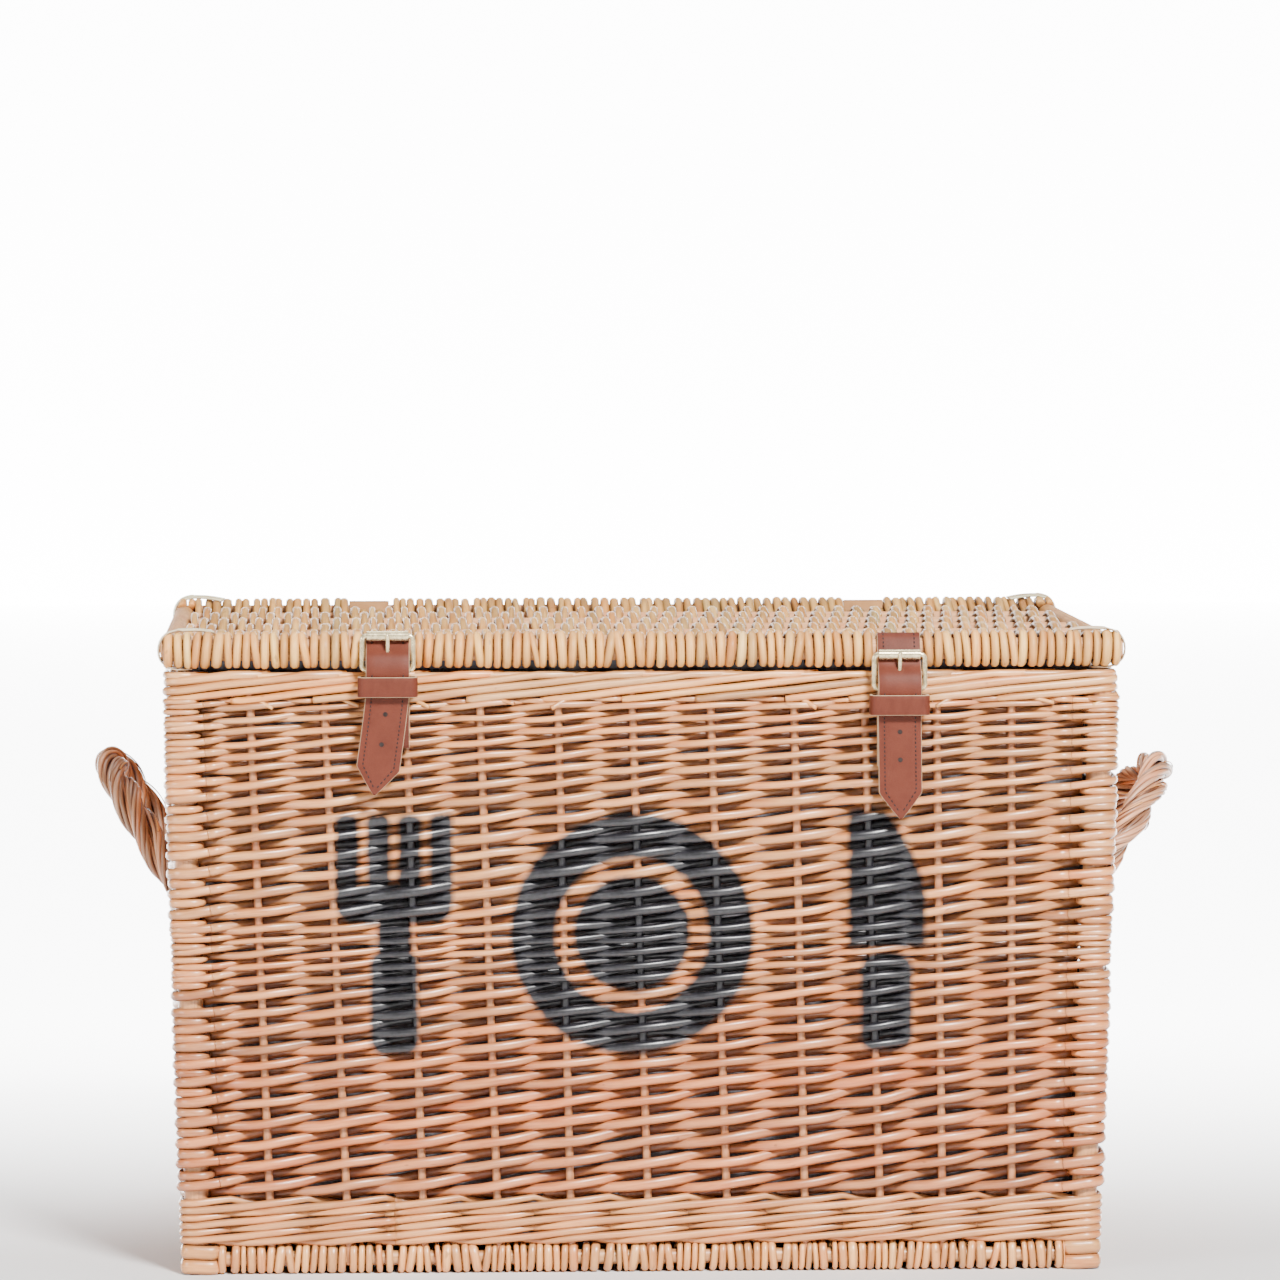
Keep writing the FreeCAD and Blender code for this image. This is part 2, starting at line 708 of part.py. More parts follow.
for label, (cx, bar_z) in CLOSURES.items():
    out = -D["bar_out"]
    top_z = bar_z + D["buckle_rise"]
    w = D["strap_w"] / 2
    wire_r = D["wire_rad"]

    # chape: folded leather round the hinge bar, slotted for the tongue, riveted below
    neck = [
        (out - 3.5, bar_z - 0.6), (-191.0, bar_z - 13), (-191.0, bar_z - 43),
        (-187.0, bar_z - 43), (-187.0, bar_z - 8), (out + 3.5, bar_z - 0.2),
    ]  # fmt: skip
    neck.append(neck[0])
    face = Part.Face(Part.makePolygon([Vector(cx - w, y, z) for y, z in neck]))
    shape = face.extrude(Vector(2 * w, 0, 0)).fuse(
        ring_x(cx, out, bar_z, 3.6, 0, 2 * w)
    )
    shape = shape.cut(ring_x(cx, out, bar_z, 1.6, 0, 2 * w + 4))
    shape = shape.cut(
        Part.makeBox(5.0, 14.0, 12.0, Vector(cx - 2.5, out - 7, bar_z - 4.0))
    )
    shape = shape.cut(
        Part.makeCylinder(D["rivet_rad"], 20, Vector(cx, -200, bar_z - 34.0), Vector(0, 1, 0))
    )
    chape = doc.addObject("Part::Feature", f"chape_{label}")
    chape.Shape = shape.removeSplitter()
    node(chape, f"chape_{label}")

    # buckle frame: one bent wire
    bw, r = D["buckle_half_w"], 2.6
    a, b = Vector(cx - bw, out, bar_z), Vector(cx + bw, out, bar_z)
    c, d = Vector(cx + bw, out, top_z), Vector(cx - bw, out, top_z)
    q = r * (1 - math.sqrt(0.5))
    path = Part.Wire(
        [
            Part.LineSegment(a + Vector(r, 0, 0), b - Vector(r, 0, 0)).toShape(),
            Part.Arc(b - Vector(r, 0, 0), b + Vector(-q, 0, q), b + Vector(0, 0, r)).toShape(),
            Part.LineSegment(b + Vector(0, 0, r), c - Vector(0, 0, r)).toShape(),
            Part.Arc(c - Vector(0, 0, r), c + Vector(-q, 0, -q), c - Vector(r, 0, 0)).toShape(),
            Part.LineSegment(c - Vector(r, 0, 0), d + Vector(r, 0, 0)).toShape(),
            Part.Arc(d + Vector(r, 0, 0), d + Vector(q, 0, -q), d - Vector(0, 0, r)).toShape(),
            Part.LineSegment(d - Vector(0, 0, r), a + Vector(0, 0, r)).toShape(),
            Part.Arc(a + Vector(0, 0, r), a + Vector(q, 0, q), a + Vector(r, 0, 0)).toShape(),
        ]
    )
    circle = Part.Wire(
        [Part.Circle(a + Vector(r, 0, 0), Vector(1, 0, 0), wire_r).toShape()]
    )
    frame = doc.addObject("Part::Feature", f"buckle_frame_{label}")
    frame.Shape = path.makePipeShell([circle], True, False)
    node(frame, f"buckle_frame_{label}")

    # roller: a sleeve on the frame's top bar
    sleeve = doc.addObject("Part::Cylinder", f"roller_out_{label}")
    sleeve.setExpression("Radius", "Dims.roller_rad")
    sleeve.setExpression("Height", "Dims.roller_w")
    bore = doc.addObject("Part::Cylinder", f"roller_hole_{label}")
    bore.setExpression("Radius", "Dims.roller_bore")
    bore.setExpression("Height", "Dims.roller_w + 4")
    for o, extra in ((sleeve, 0.0), (bore, 2.0)):
        o.Placement = Placement(
            Vector(cx - D["roller_w"] / 2 - extra, out, top_z),
            Rotation(Vector(0, 0, 1), Vector(1, 0, 0)),
        )
    node(cut(f"buckle_roller_{label}", sleeve, [bore]), f"buckle_roller_{label}")

    # tongue: an eye on the hinge bar and a prong whose tip rests on the roller
    eye = ring_x(cx, out, bar_z, 3.1, 1.5, 2.6)
    line = [
        (out - 0.2, bar_z + 2.3),
        (out - 0.5, bar_z + 8.0),
        (out - 2.9, bar_z + 14.0),
        (out - 4.15, bar_z + 19.5),
    ]
    prong = None
    fat = ring_x(cx, out, bar_z, 3.9, 0, 4.4)
    for (y0, z0), (y1, z1) in zip(line, line[1:]):
        p, q2 = Vector(cx, y0, z0), Vector(cx, y1, z1)
        piece = Part.makeCylinder(1.1, (q2 - p).Length, p, q2 - p)
        ball = Part.makeSphere(1.1, q2)
        prong = piece.fuse(ball) if prong is None else prong.fuse(piece).fuse(ball)
        fat = fat.fuse(Part.makeCylinder(2.1, (q2 - p).Length, p, q2 - p)).fuse(
            Part.makeSphere(2.1, q2)
        )
    # the prong is flattened where it meets the eye, so it stays off the bar
    prong = prong.cut(ring_x(cx, out, bar_z, 1.5, 0, 4))
    tongue = doc.addObject("Part::Feature", f"buckle_tongue_{label}")
    tongue.Shape = eye.fuse(prong).removeSplitter()
    node(tongue, f"buckle_tongue_{label}")

    # keeper: a leather band round chape and strap
    kz = {"left": 324.2, "right": 311.6}[label]
    kbody = doc.addObject("PartDesign::Body", f"keeper_body_{label}")
    ks = kbody.newObject("Sketcher::SketchObject", f"keeper_sketch_{label}")
    plane = [f for f in kbody.Origin.OriginFeatures if f.Role == "XY_Plane"][0]
    ks.AttachmentSupport = [(plane, "")]
    ks.MapMode = "FlatFace"
    for grow in (D["keeper_t"], 0.0):
        n = ks.GeometryCount
        xi = D["keeper_half_in"] + grow
        yf, yb = -(D["keeper_front"] + grow), -(D["keeper_back"] - grow)
        corners = [(-xi, yf), (xi, yf), (xi, yb), (-xi, yb)]
        for k in range(4):
            p, q2 = corners[k], corners[(k + 1) % 4]
            ks.addGeometry(Part.LineSegment(Vector(*p, 0), Vector(*q2, 0)))
        for k in range(4):
            ks.addConstraint(
                Sketcher.Constraint("Coincident", n + k, 2, n + (k + 1) % 4, 1)
            )
        for k, kind in enumerate(("Horizontal", "Vertical", "Horizontal", "Vertical")):
            ks.addConstraint(Sketcher.Constraint(kind, n + k))
        text = " + Dims.keeper_t" if grow else ""
        c = ks.addConstraint(Sketcher.Constraint("DistanceX", n, 2, xi))
        ks.setExpression(f"Constraints[{c}]", "Dims.keeper_half_in" + text)
        c = ks.addConstraint(Sketcher.Constraint("DistanceX", n, 1, n, 2, 2 * xi))
        ks.setExpression(f"Constraints[{c}]", f"2 * (Dims.keeper_half_in{text})")
        c = ks.addConstraint(Sketcher.Constraint("DistanceY", n, 1, yf))
        ks.setExpression(f"Constraints[{c}]", f"-(Dims.keeper_front{text})")
        c = ks.addConstraint(Sketcher.Constraint("DistanceY", n + 1, 2, yb))
        ks.setExpression(
            f"Constraints[{c}]",
            "-(Dims.keeper_back - Dims.keeper_t)" if grow else "-Dims.keeper_back",
        )
    kp = kbody.newObject("PartDesign::Pad", f"keeper_pad_{label}")
    kp.Profile = ks
    kp.setExpression("Length", "Dims.keeper_high")
    kbody.Tip = kp
    kbody.Placement = Placement(Vector(cx, 0, kz), Rotation())
    node(kbody, f"keeper_{label}")

    # strap: round the lid's front stick, behind the roller, over the hinge bar,
    # through the keeper, then hanging in front of the weave
    sy, sz = -STICK_Y, STICK_Z
    r = 7.5
    tip_z = {"left": 269.3, "right": 254.9}[label]
    if label == "left":
        head_run = [(sy - 3.5, sz + r + 0.9), (-187.5, 357.0), (-188.5, 353.0), (-191.8, 348.9)]
        loop_end = (-186.3, 346.0)
    else:
        head_run = [(sy - 4.2, sz + 7.0), (-187.55, 346.6), (-190.6, 339.6)]
        loop_end = (-184.2, 343.2)
    turn = [
        (sy + r * math.cos(math.radians(t)), sz + r * math.sin(math.radians(t)))
        for t in (-112, -75, -38, 0, 32, 62)
    ]
    run = turn + [(sy - 0.1, sz + r + 0.1)] + head_run
    run += [
        (-195.4, bar_z + 7.0),
        (-197.1, bar_z + 0.5),
        (-196.2, bar_z - 6.0),
        (-194.3, bar_z - 13.0),
        (-193.6, bar_z - 22.0),
        (-193.5, bar_z - 34.0),
        (-193.1, (bar_z - 34.0 + tip_z) / 2),
        (-192.7, tip_z),
    ]
    strip = ribbon(run, 96, D["strap_t"], cx - w, cx + w)
    # the pointed tip
    for s in (-1, 1):
        tri = Part.makePolygon(
            [
                Vector(cx + s * 20, -210, tip_z - 2),
                Vector(cx, -210, tip_z - 2),
                Vector(cx, -210, tip_z),
                Vector(cx + s * (w - 0.5), -210, tip_z + 14.5),
                Vector(cx + s * 20, -210, tip_z + 14.5),
                Vector(cx + s * 20, -210, tip_z - 2),
            ]
        )
        strip = strip.cut(Part.Face(tri).extrude(Vector(0, 40, 0)))
    # the punched holes, and the one the tongue goes through
    for hole_z in {"left": (313.8, 297.1), "right": (303.2, 287.7)}[label]:
        strip = strip.cut(
            Part.makeCylinder(1.25, 20, Vector(cx, -202, hole_z), Vector(0, 1, 0))
        )
    strip = strip.cut(fat)
    strap = doc.addObject("Part::Feature", f"strap_{label}")
    strap.Shape = strip
    node(strap, f"strap_{label}")

# -------------------------------------------------------------- rope handles
for label, s in (("left", -1), ("right", 1)):
    px, pz = s * D["handle_pivot_x"], D["handle_pivot_z"]
    tilt = math.radians(D["handle_tilt"])
    up = Vector(s * math.sin(tilt), 0, math.cos(tilt))
    origin = Vector(px, 0, pz)

    def at(v, w):
        return origin + Vector(0, v, 0) + up * w

    leg = D["handle_leg"]
    A, B, C, E, F = at(-leg, 0), at(-62, 28), at(0, 76), at(62, 28), at(leg, 0)
    path = Part.Wire(
        [
            Part.LineSegment(A, B).toShape(),
            Part.Arc(B, C, E).toShape(),
            Part.LineSegment(E, F).toShape(),
        ]
    )
    circle = Part.Wire([Part.Circle(A, B - A, D["rope_rad"]).toShape()])
    rope = path.makePipeShell([circle], True, False)
    ends = []
    for v in (-leg, leg):
        ends.append(
            Part.makeCylinder(
                D["knuckle_rad"], 20.0, Vector(px, v - 10.0, pz), Vector(0, 1, 0)
            )
        )
    handle = doc.addObject("Part::Feature", f"rope_handle_{label}")
    handle.Shape = rope.fuse(ends)
    node(handle, f"rope_handle_{label}")

# ---------------------------------------------------------------- write-out
doc.recompute()
for obj in doc.Objects:
    if "Invalid" in obj.State or "Error" in obj.State:
        raise RuntimeError(f"{obj.Label}: {obj.State}")
names = [o.Label for o in NODES]
assert len(set(names)) == len(names)
for obj in NODES:
    shape = obj.Shape
    if shape.isNull() or not shape.isValid() or not shape.Solids:
        raise RuntimeError(f"{obj.Label}: the shape is null, open or invalid")
    shape.exportStep(f"parts/{obj.Label}.step")
    box = shape.BoundBox
    print(
        f"{obj.Label:26s} {len(shape.Solids):3d} solids {shape.Volume:12.1f} mm3  "
        f"x {box.XMin:8.2f} {box.XMax:8.2f}  y {box.YMin:8.2f} {box.YMax:8.2f}  "
        f"z {box.ZMin:7.2f} {box.ZMax:7.2f}"
    )
print(len(NODES), "nodes")
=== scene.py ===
"""Looks for the wicker picnic hamper: every woven rod, strap and cloth in mesh code, round the CAD part."""

import math

import bpy
import numpy as np
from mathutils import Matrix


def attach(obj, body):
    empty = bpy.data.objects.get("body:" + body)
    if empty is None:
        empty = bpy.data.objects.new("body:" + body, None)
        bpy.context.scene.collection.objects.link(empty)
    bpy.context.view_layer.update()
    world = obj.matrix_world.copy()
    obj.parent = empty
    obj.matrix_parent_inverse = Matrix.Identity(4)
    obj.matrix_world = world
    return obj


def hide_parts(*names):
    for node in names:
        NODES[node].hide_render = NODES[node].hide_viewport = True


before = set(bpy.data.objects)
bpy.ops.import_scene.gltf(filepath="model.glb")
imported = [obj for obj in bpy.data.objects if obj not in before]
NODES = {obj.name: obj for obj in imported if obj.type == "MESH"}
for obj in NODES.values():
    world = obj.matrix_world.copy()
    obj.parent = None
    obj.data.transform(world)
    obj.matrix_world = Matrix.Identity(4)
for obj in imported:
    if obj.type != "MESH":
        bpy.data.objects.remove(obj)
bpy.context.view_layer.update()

MM = 0.001


# ------------------------------------------------------------------ numbers
def hx(z):
    return 257.5 + 9.0 * z / 336.0


def hy(z):
    return 176.0 + 9.0 * z / 336.0


FRONT = [(-206, -218), (-163, -177), (-121, -132), (-79.5, -91), (-39, -47.5), (4.5, -6.4), (48.7, 37), (91.8, 83.6), (134.4, 122.5), (168.5, 163), (207, 205)]
BACK = [(-205, -212), (-164, -170), (-122, -128), (-80, -84), (-40, -44), (2, -2), (43, 41), (85, 84), (126, 128), (167, 171), (206, 212)]
SIDE = [(-126, -131), (-86, -89), (-41, -42), (0, 1), (41, 42), (86, 89), (126, 131)]
CORNERS = (-1, 11, 19, 31)
QUARTER = 4.5 * math.pi / 2
COURSES = np.array(
    [320.4, 314.3, 307.6, 300.9, 293.7, 286.4, 278.6, 269.7, 260.2, 249.7, 239.6, 230.2, 219.0, 207.9, 196.7, 190.0, 183.9, 176.1, 169.4, 161.6, 151.6, 142.1, 132.1, 122.1, 113.2, 102.4, 90.8, 79.8, 68.0, 55.6, 43.6]
)[::-1]
NC = len(COURSES) - 1
STRAPS = {"left": (-141.5, 338.0), "right": (141.5, 327.0)}
HINGES = {"left": -150.0, "right": 150.0}
LID_Y, LID_Z = 179.0, 348.5


def station_lines():
    """Arc position of every stake and corner as p + q * z, for stations -1 to 39."""
    lx0, lx1 = 247.0, 9 / 336
    ly0, ly1 = 165.5, 9 / 336
    out = {-1: (-QUARTER / 2, 0.0)}

    def put(first, base0, base1, l0, l1, pairs):
        for k, (foot, rim) in enumerate(pairs):
            out[first + k] = (base0 + l0 + foot, base1 + l1 + (rim - foot) / 336.0)

    put(0, 0, 0, lx0, lx1, FRONT)
    b0, b1 = 2 * lx0, 2 * lx1
    out[11] = (b0 + QUARTER / 2, b1)
    b0 += QUARTER
    put(12, b0, b1, ly0, ly1, SIDE)
    b0, b1 = b0 + 2 * ly0, b1 + 2 * ly1
    out[19] = (b0 + QUARTER / 2, b1)
    b0 += QUARTER
    put(20, b0, b1, lx0, lx1, [(-a, -b) for a, b in BACK[::-1]])
    b0, b1 = b0 + 2 * lx0, b1 + 2 * lx1
    out[31] = (b0 + QUARTER / 2, b1)
    b0 += QUARTER
    put(32, b0, b1, ly0, ly1, [(-a, -b) for a, b in SIDE[::-1]])
    b0, b1 = b0 + 2 * ly0, b1 + 2 * ly1
    total = (b0 + QUARTER, b1)
    return np.array([out[k] for k in range(-1, 39)]), total


STATIONS, TOTAL = station_lines()


def arc_at(t, z):
    k = np.floor(t).astype(int)
    f = t - k

    def one(k):
        m, r = np.divmod(k + 1, 40)
        return STATIONS[r, 0] + STATIONS[r, 1] * z + m * (TOTAL[0] + TOTAL[1] * z)

    return one(k) * (1 - f) + one(k + 1) * f


def round_path(a, z, d):
    """Point and outward normal on the wall's middle line at arc position a, d mm outside it."""
    total = TOTAL[0] + TOTAL[1] * z
    a = np.mod(a + QUARTER, total) - QUARTER
    lx, ly = hx(z) - 10.5, hy(z) - 10.5
    x, y, nx, ny = (np.zeros_like(a) for _ in range(4))
    edges = [-QUARTER + 0 * a, 0 * a]
    for l in (lx, ly, lx, ly):
        edges.append(edges[-1] + 2 * l)
        edges.append(edges[-1] + QUARTER)
    walls = [
        (0, 0, -1, 1, 0), (0, 1, 0, 0, 1), (0, 0, 1, -1, 0), (0, -1, 0, 0, -1),
    ]  # fmt: skip
    # corner before the front wall
    def corner(m, cx, cy, start, off):
        ang = start + (a[m] - off[m]) / 4.5
        nx[m], ny[m] = np.cos(ang), np.sin(ang)
        x[m], y[m] = cx[m] + (4.5 + d[m]) * nx[m], cy[m] + (4.5 + d[m]) * ny[m]

    corner(a < 0, -lx, -ly, math.pi, edges[0])
    for w in range(4):
        lo, hi, end = edges[1 + 2 * w], edges[2 + 2 * w], edges[3 + 2 * w]
        m = (a >= lo) & (a < hi)
        _, wx, wy, tx, ty = walls[w]
        half = lx if w in (0, 2) else ly
        s = a - lo - half
        ox, oy = hx(z) - 6 + d, hy(z) - 6 + d
        x[m] = (wx * ox + tx * s)[m]
        y[m] = (wy * oy + ty * s)[m]
        nx[m], ny[m] = wx, wy
        m = (a >= hi) & (a < end)
        cx, cy, start = [(lx, -ly, -math.pi / 2), (lx, ly, 0.0), (-lx, ly, math.pi / 2), (-lx, -ly, math.pi)][w]
        corner(m, cx, cy, start, hi)
    return np.stack([x, y, z + 0 * x], 1), np.stack([nx, ny, 0 * nx], 1)


def smooth_noise(rng, x, scale, amp):
    """Slow random wander along x."""
    out = np.zeros_like(x, dtype=float)
    for k in range(3):
        out += np.sin(x / scale * (1.0 + 0.7 * k) * 2 * math.pi + rng.uniform(0, 6.28)) * rng.uniform(0.4, 1.0)
    return out * amp / 2.0


def lin(rgb):
    c = np.asarray(rgb, float) / 255.0
    return np.where(c <= 0.04045, c / 12.92, ((c + 0.055) / 1.055) ** 2.4)


# ------------------------------------------------------------- mesh builder
class Piece:
    """Collects swept rods and strips into one mesh, with its own unwrapped bake layer."""

    def __init__(self, name):
        self.name = name
        self.V, self.R, self.C = [], [], []
        self.loops, self.sizes, self.mats, self.smooth = [], [], [], []
        self.chunks = []  # (loop index array, local uv (n,2), width, height)
        self.nv = self.nl = 0

    def _face_block(self, quads, mat, smooth=True):
        n, k = quads.shape
        self.loops.append(quads.ravel())
        self.sizes.append(np.full(n, k))
        self.mats.append(np.full(n, mat))
        self.smooth.append(np.full(n, smooth))
        start = self.nl
        self.nl += n * k
        return start

    def sweep(self, P, ref, prof, tint, mat=0, closed=False, caps=True, seed=0.0, smooth=True):
        P = np.asarray(P, float)
        n = len(P)
        prof = np.asarray(prof, float)
        if prof.ndim == 2:
            prof = np.broadcast_to(prof, (n,) + prof.shape)
        k = prof.shape[1]
        if closed:
            T = np.roll(P, -1, 0) - np.roll(P, 1, 0)
        else:
            T = np.gradient(P, axis=0)
        T = T / np.maximum(np.linalg.norm(T, axis=1, keepdims=True), 1e-9)
        ref = np.broadcast_to(np.asarray(ref, float), P.shape)
        N = ref - (ref * T).sum(1, keepdims=True) * T
        N = N / np.maximum(np.linalg.norm(N, axis=1, keepdims=True), 1e-9)
        B = np.cross(T, N)
        V = P[:, None, :] + prof[:, :, 0:1] * B[:, None, :] + prof[:, :, 1:2] * N[:, None, :]
        seg = np.linalg.norm(np.diff(P, axis=0), axis=1)
        along = np.concatenate([[0], np.cumsum(seg)])
        R = np.empty((n, k, 3))
        R[:, :, 0] = (along + seed * 977.0)[:, None]
        R[:, :, 1] = prof[:, :, 0] + seed * 131.0
        R[:, :, 2] = prof[:, :, 1]
        C = np.ones((n, k, 4))
        C[:, :, :3] = tint if np.ndim(tint) == 3 else np.asarray(tint, float).reshape(-1, 1, 3)
        if np.ndim(tint) != 3 and mat == 0:
            # painted shade: every rod's tint darkens, turning browner, from its outward crest down its sides to its
            # back
            lift = prof[:, :, 1] / np.maximum(np.abs(prof[:, :, 1]).max(1, keepdims=True), 1e-6)
            lift = np.clip((lift + 0.04) / 0.94, 0, 1)
            lift = lift * lift * (3 - 2 * lift)
            C[:, :, 0] *= 0.25 + 0.75 * lift
            C[:, :, 1] *= 0.18 + 0.82 * lift
            C[:, :, 2] *= 0.13 + 0.87 * lift
        base = self.nv
        self.V.append(V.reshape(-1, 3))
        self.R.append(R.reshape(-1, 3))
        self.C.append(C.reshape(-1, 4))
        self.nv += n * k
        idx = base + np.arange(n * k).reshape(n, k)
        rows = n if closed else n - 1
        i = np.arange(rows)
        nxt = (i + 1) % n
        j = np.arange(k)
        jn = (j + 1) % k
        q = np.stack(
            [idx[i][:, j], idx[nxt][:, j], idx[nxt][:, jn], idx[i][:, jn]], -1
        )  # rows,k,4
        start = self._face_block(q.reshape(-1, 4), mat, smooth)
        # bake layer: strips of at most 220 mm of the rod
        mid = prof[n // 2]
        side = np.linalg.norm(np.roll(mid, -1, 0) - mid, axis=1)
        v = np.concatenate([[0], np.cumsum(side)])
        al = np.concatenate([along, [along[-1] + np.linalg.norm(P[0] - P[-1])]]) if closed else along
        a = 0
        while a < rows:
            b = a + 1
            while b < rows and al[b + 1] - al[a] < 220:
                b += 1
            u0 = al[a:b] - al[a]
            u1 = al[a + 1 : b + 1] - al[a]
            uv = np.empty((b - a, k, 4, 2))
            uv[:, :, 0, 0] = u0[:, None]
            uv[:, :, 1, 0] = u1[:, None]
            uv[:, :, 2, 0] = u1[:, None]
            uv[:, :, 3, 0] = u0[:, None]
            uv[:, :, 0, 1] = v[:-1]
            uv[:, :, 1, 1] = v[:-1]
            uv[:, :, 2, 1] = v[1:]
            uv[:, :, 3, 1] = v[1:]
            self.chunks.append((start + a * k * 4, uv.reshape(-1, 2), float(u1[-1]), float(v[-1])))
            a = b
        if caps and not closed:
            for ring, order in ((0, j), (n - 1, j[::-1])):
                s = self._face_block(idx[ring][order][None], mat, False)
                pf = prof[ring][order]
                pf = pf - pf.min(0)
                self.chunks.append((s, pf, float(pf[:, 0].max()), float(pf[:, 1].max())))
        return V

    def patch(self, V, quads, tint, R=None, mat=0, uv=None, smooth=True):
        """A loose grid patch; uv in mm per vertex."""
        V = np.asarray(V, float)
        base = self.nv
        self.V.append(V)
        self.R.append(V if R is None else R)
        C = np.ones((len(V), 4))
        C[:, :3] = tint
        self.C.append(C)
        self.nv += len(V)
        s = self._face_block(base + quads, mat, smooth)
        u = uv[quads.ravel()]
        u = u - u.min(0)
        self.chunks.append((s, u, float(u[:, 0].max()), float(u[:, 1].max())))

    def build(self, mats, body, replaces, slot):
        me = bpy.data.meshes.new(self.name)
        V = np.concatenate(self.V) * MM
        loops = np.concatenate(self.loops).astype(np.int32)
        sizes = np.concatenate(self.sizes)
        starts = np.concatenate([[0], np.cumsum(sizes)[:-1]]).astype(np.int32)
        me.vertices.add(len(V))
        me.vertices.foreach_set("co", V.astype(np.float32).ravel())
        me.loops.add(len(loops))
        me.loops.foreach_set("vertex_index", loops)
        me.polygons.add(len(sizes))
        me.polygons.foreach_set("loop_start", starts)
        me.polygons.foreach_set("material_index", np.concatenate(self.mats).astype(np.int32))
        me.polygons.foreach_set("use_smooth", np.concatenate(self.smooth).astype(bool))
        # bake layer
        chunks = sorted(self.chunks, key=lambda c: -c[3])
        gap = 0.6
        area = sum((w + gap) * (h + gap) for _, _, w, h in chunks)
        width = max(math.sqrt(area) * 1.04, 225.0)
        x = y = row = 0.0
        uv = np.zeros((len(loops), 2))
        top = 0.0
        for s, u, w, h in chunks:
            if x + w + gap > width and x > 0:
                y, x, row = y + row, 0.0, 0.0
            row = max(row, h + gap)
            uv[s : s + len(u)] = u + (x + gap / 2, y + gap / 2)
            x += w + gap
            top = max(top, y + row)
        uv /= max(width, top)
        layer = me.uv_layers.new(name="OFBake")
        layer.data.foreach_set("uv", uv.astype(np.float32).ravel())
        a = me.attributes.new("rodco", "FLOAT_VECTOR", "POINT")
        a.data.foreach_set("vector", (np.concatenate(self.R) * MM).astype(np.float32).ravel())
        a = me.attributes.new("tint", "FLOAT_COLOR", "POINT")
        a.data.foreach_set("color", np.clip(np.concatenate(self.C), 0, 1).astype(np.float32).ravel())
        me.update(calc_edges=True)
        for m in mats:
            me.materials.append(m)
        ob = bpy.data.objects.new(self.name, me)
        bpy.context.scene.collection.objects.link(ob)
        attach(ob, body)
        if replaces:
            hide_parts(*replaces)
        return ob


RING8 = np.stack([np.cos(np.arange(8) * math.pi / 4 + math.pi / 8), np.sin(np.arange(8) * math.pi / 4 + math.pi / 8)], 1)
RING6 = np.stack([np.cos(np.arange(6) * math.pi / 3), np.sin(np.arange(6) * math.pi / 3)], 1)


def oval(b, a, n=None, ring=RING8):
    """Oval section: b half width across, a half thickness outwards."""
    b, a = np.atleast_1d(b).astype(float), np.atleast_1d(a).astype(float)
    m = max(len(b), len(a), n or 1)
    b, a = np.broadcast_to(b, m), np.broadcast_to(a, m)
    return ring[None] * np.stack([b, a], -1)[:, None, :]


# ---------------------------------------------------------------- materials
def new_mat(name):
    m = bpy.data.materials.new(name)
    m.use_nodes = True
    nt = m.node_tree
    nt.nodes.clear()
    out = nt.nodes.new("ShaderNodeOutputMaterial")
    p = nt.nodes.new("ShaderNodeBsdfPrincipled")
    nt.links.new(p.outputs[0], out.inputs[0])
    return m, nt, p


class S:
    """A socket that can be added, multiplied and compared, so shapes can be written as formulas."""

    nt = None

    def __init__(self, sock):
        self.s = sock

    @classmethod
    def op(cls, kind, *args, clamp=False):
        n = cls.nt.nodes.new("ShaderNodeMath")
        n.operation = kind
        n.use_clamp = clamp
        for i, a in enumerate(args):
            if isinstance(a, S):
                cls.nt.links.new(a.s, n.inputs[i])
            else:
                n.inputs[i].default_value = a
        return S(n.outputs[0])

    def __add__(self, o):
        return S.op("ADD", self, o)

    __radd__ = __add__

    def __sub__(self, o):
        return S.op("SUBTRACT", self, o)

    def __rsub__(self, o):
        return S.op("SUBTRACT", o, self)

    def __mul__(self, o):
        return S.op("MULTIPLY", self, o)

    __rmul__ = __mul__

    def abs(self):
        return S.op("ABSOLUTE", self)

    def max(self, o):
        return S.op("MAXIMUM", self, o)

    def min(self, o):
        return S.op("MINIMUM", self, o)


def noise(nt, vec, scale, detail=3.0, rough=0.55):
    n = nt.nodes.new("ShaderNodeTexNoise")
    n.inputs["Scale"].default_value = scale
    n.inputs["Detail"].default_value = detail
    n.inputs["Roughness"].default_value = rough
    nt.links.new(vec, n.inputs["Vector"])
    return n.outputs["Fac"]


def stretch(nt, vec, sx, sy, sz):
    m = nt.nodes.new("ShaderNodeMapping")
    m.inputs["Scale"].default_value = (sx, sy, sz)
    nt.links.new(vec, m.inputs["Vector"])
    return m.outputs[0]


def ramp(nt, fac, stops):
    r = nt.nodes.new("ShaderNodeValToRGB")
    e = r.color_ramp.elements
    while len(e) < len(stops):
        e.new(0.5)
    for el, (pos, col) in zip(e, stops):
        el.position = pos
        el.color = (*col, 1.0) if len(col) == 3 else col
    nt.links.new(fac, r.inputs[0])
    return r.outputs[0]


def mix(nt, kind, fac, a, b):
    m = nt.nodes.new("ShaderNodeMix")
    m.data_type = "RGBA"
    m.blend_type = kind
    for sock, val in ((m.inputs[0], fac), (m.inputs[6], a), (m.inputs[7], b)):
        if isinstance(val, bpy.types.NodeSocket):
            nt.links.new(val, sock)
        else:
            sock.default_value = val if not isinstance(val, tuple) or len(val) != 3 else (*val, 1.0)
    return m.outputs[2]


def attribute(nt, name):
    a = nt.nodes.new("ShaderNodeAttribute")
    a.attribute_type = "GEOMETRY"
    a.attribute_name = name
    return a


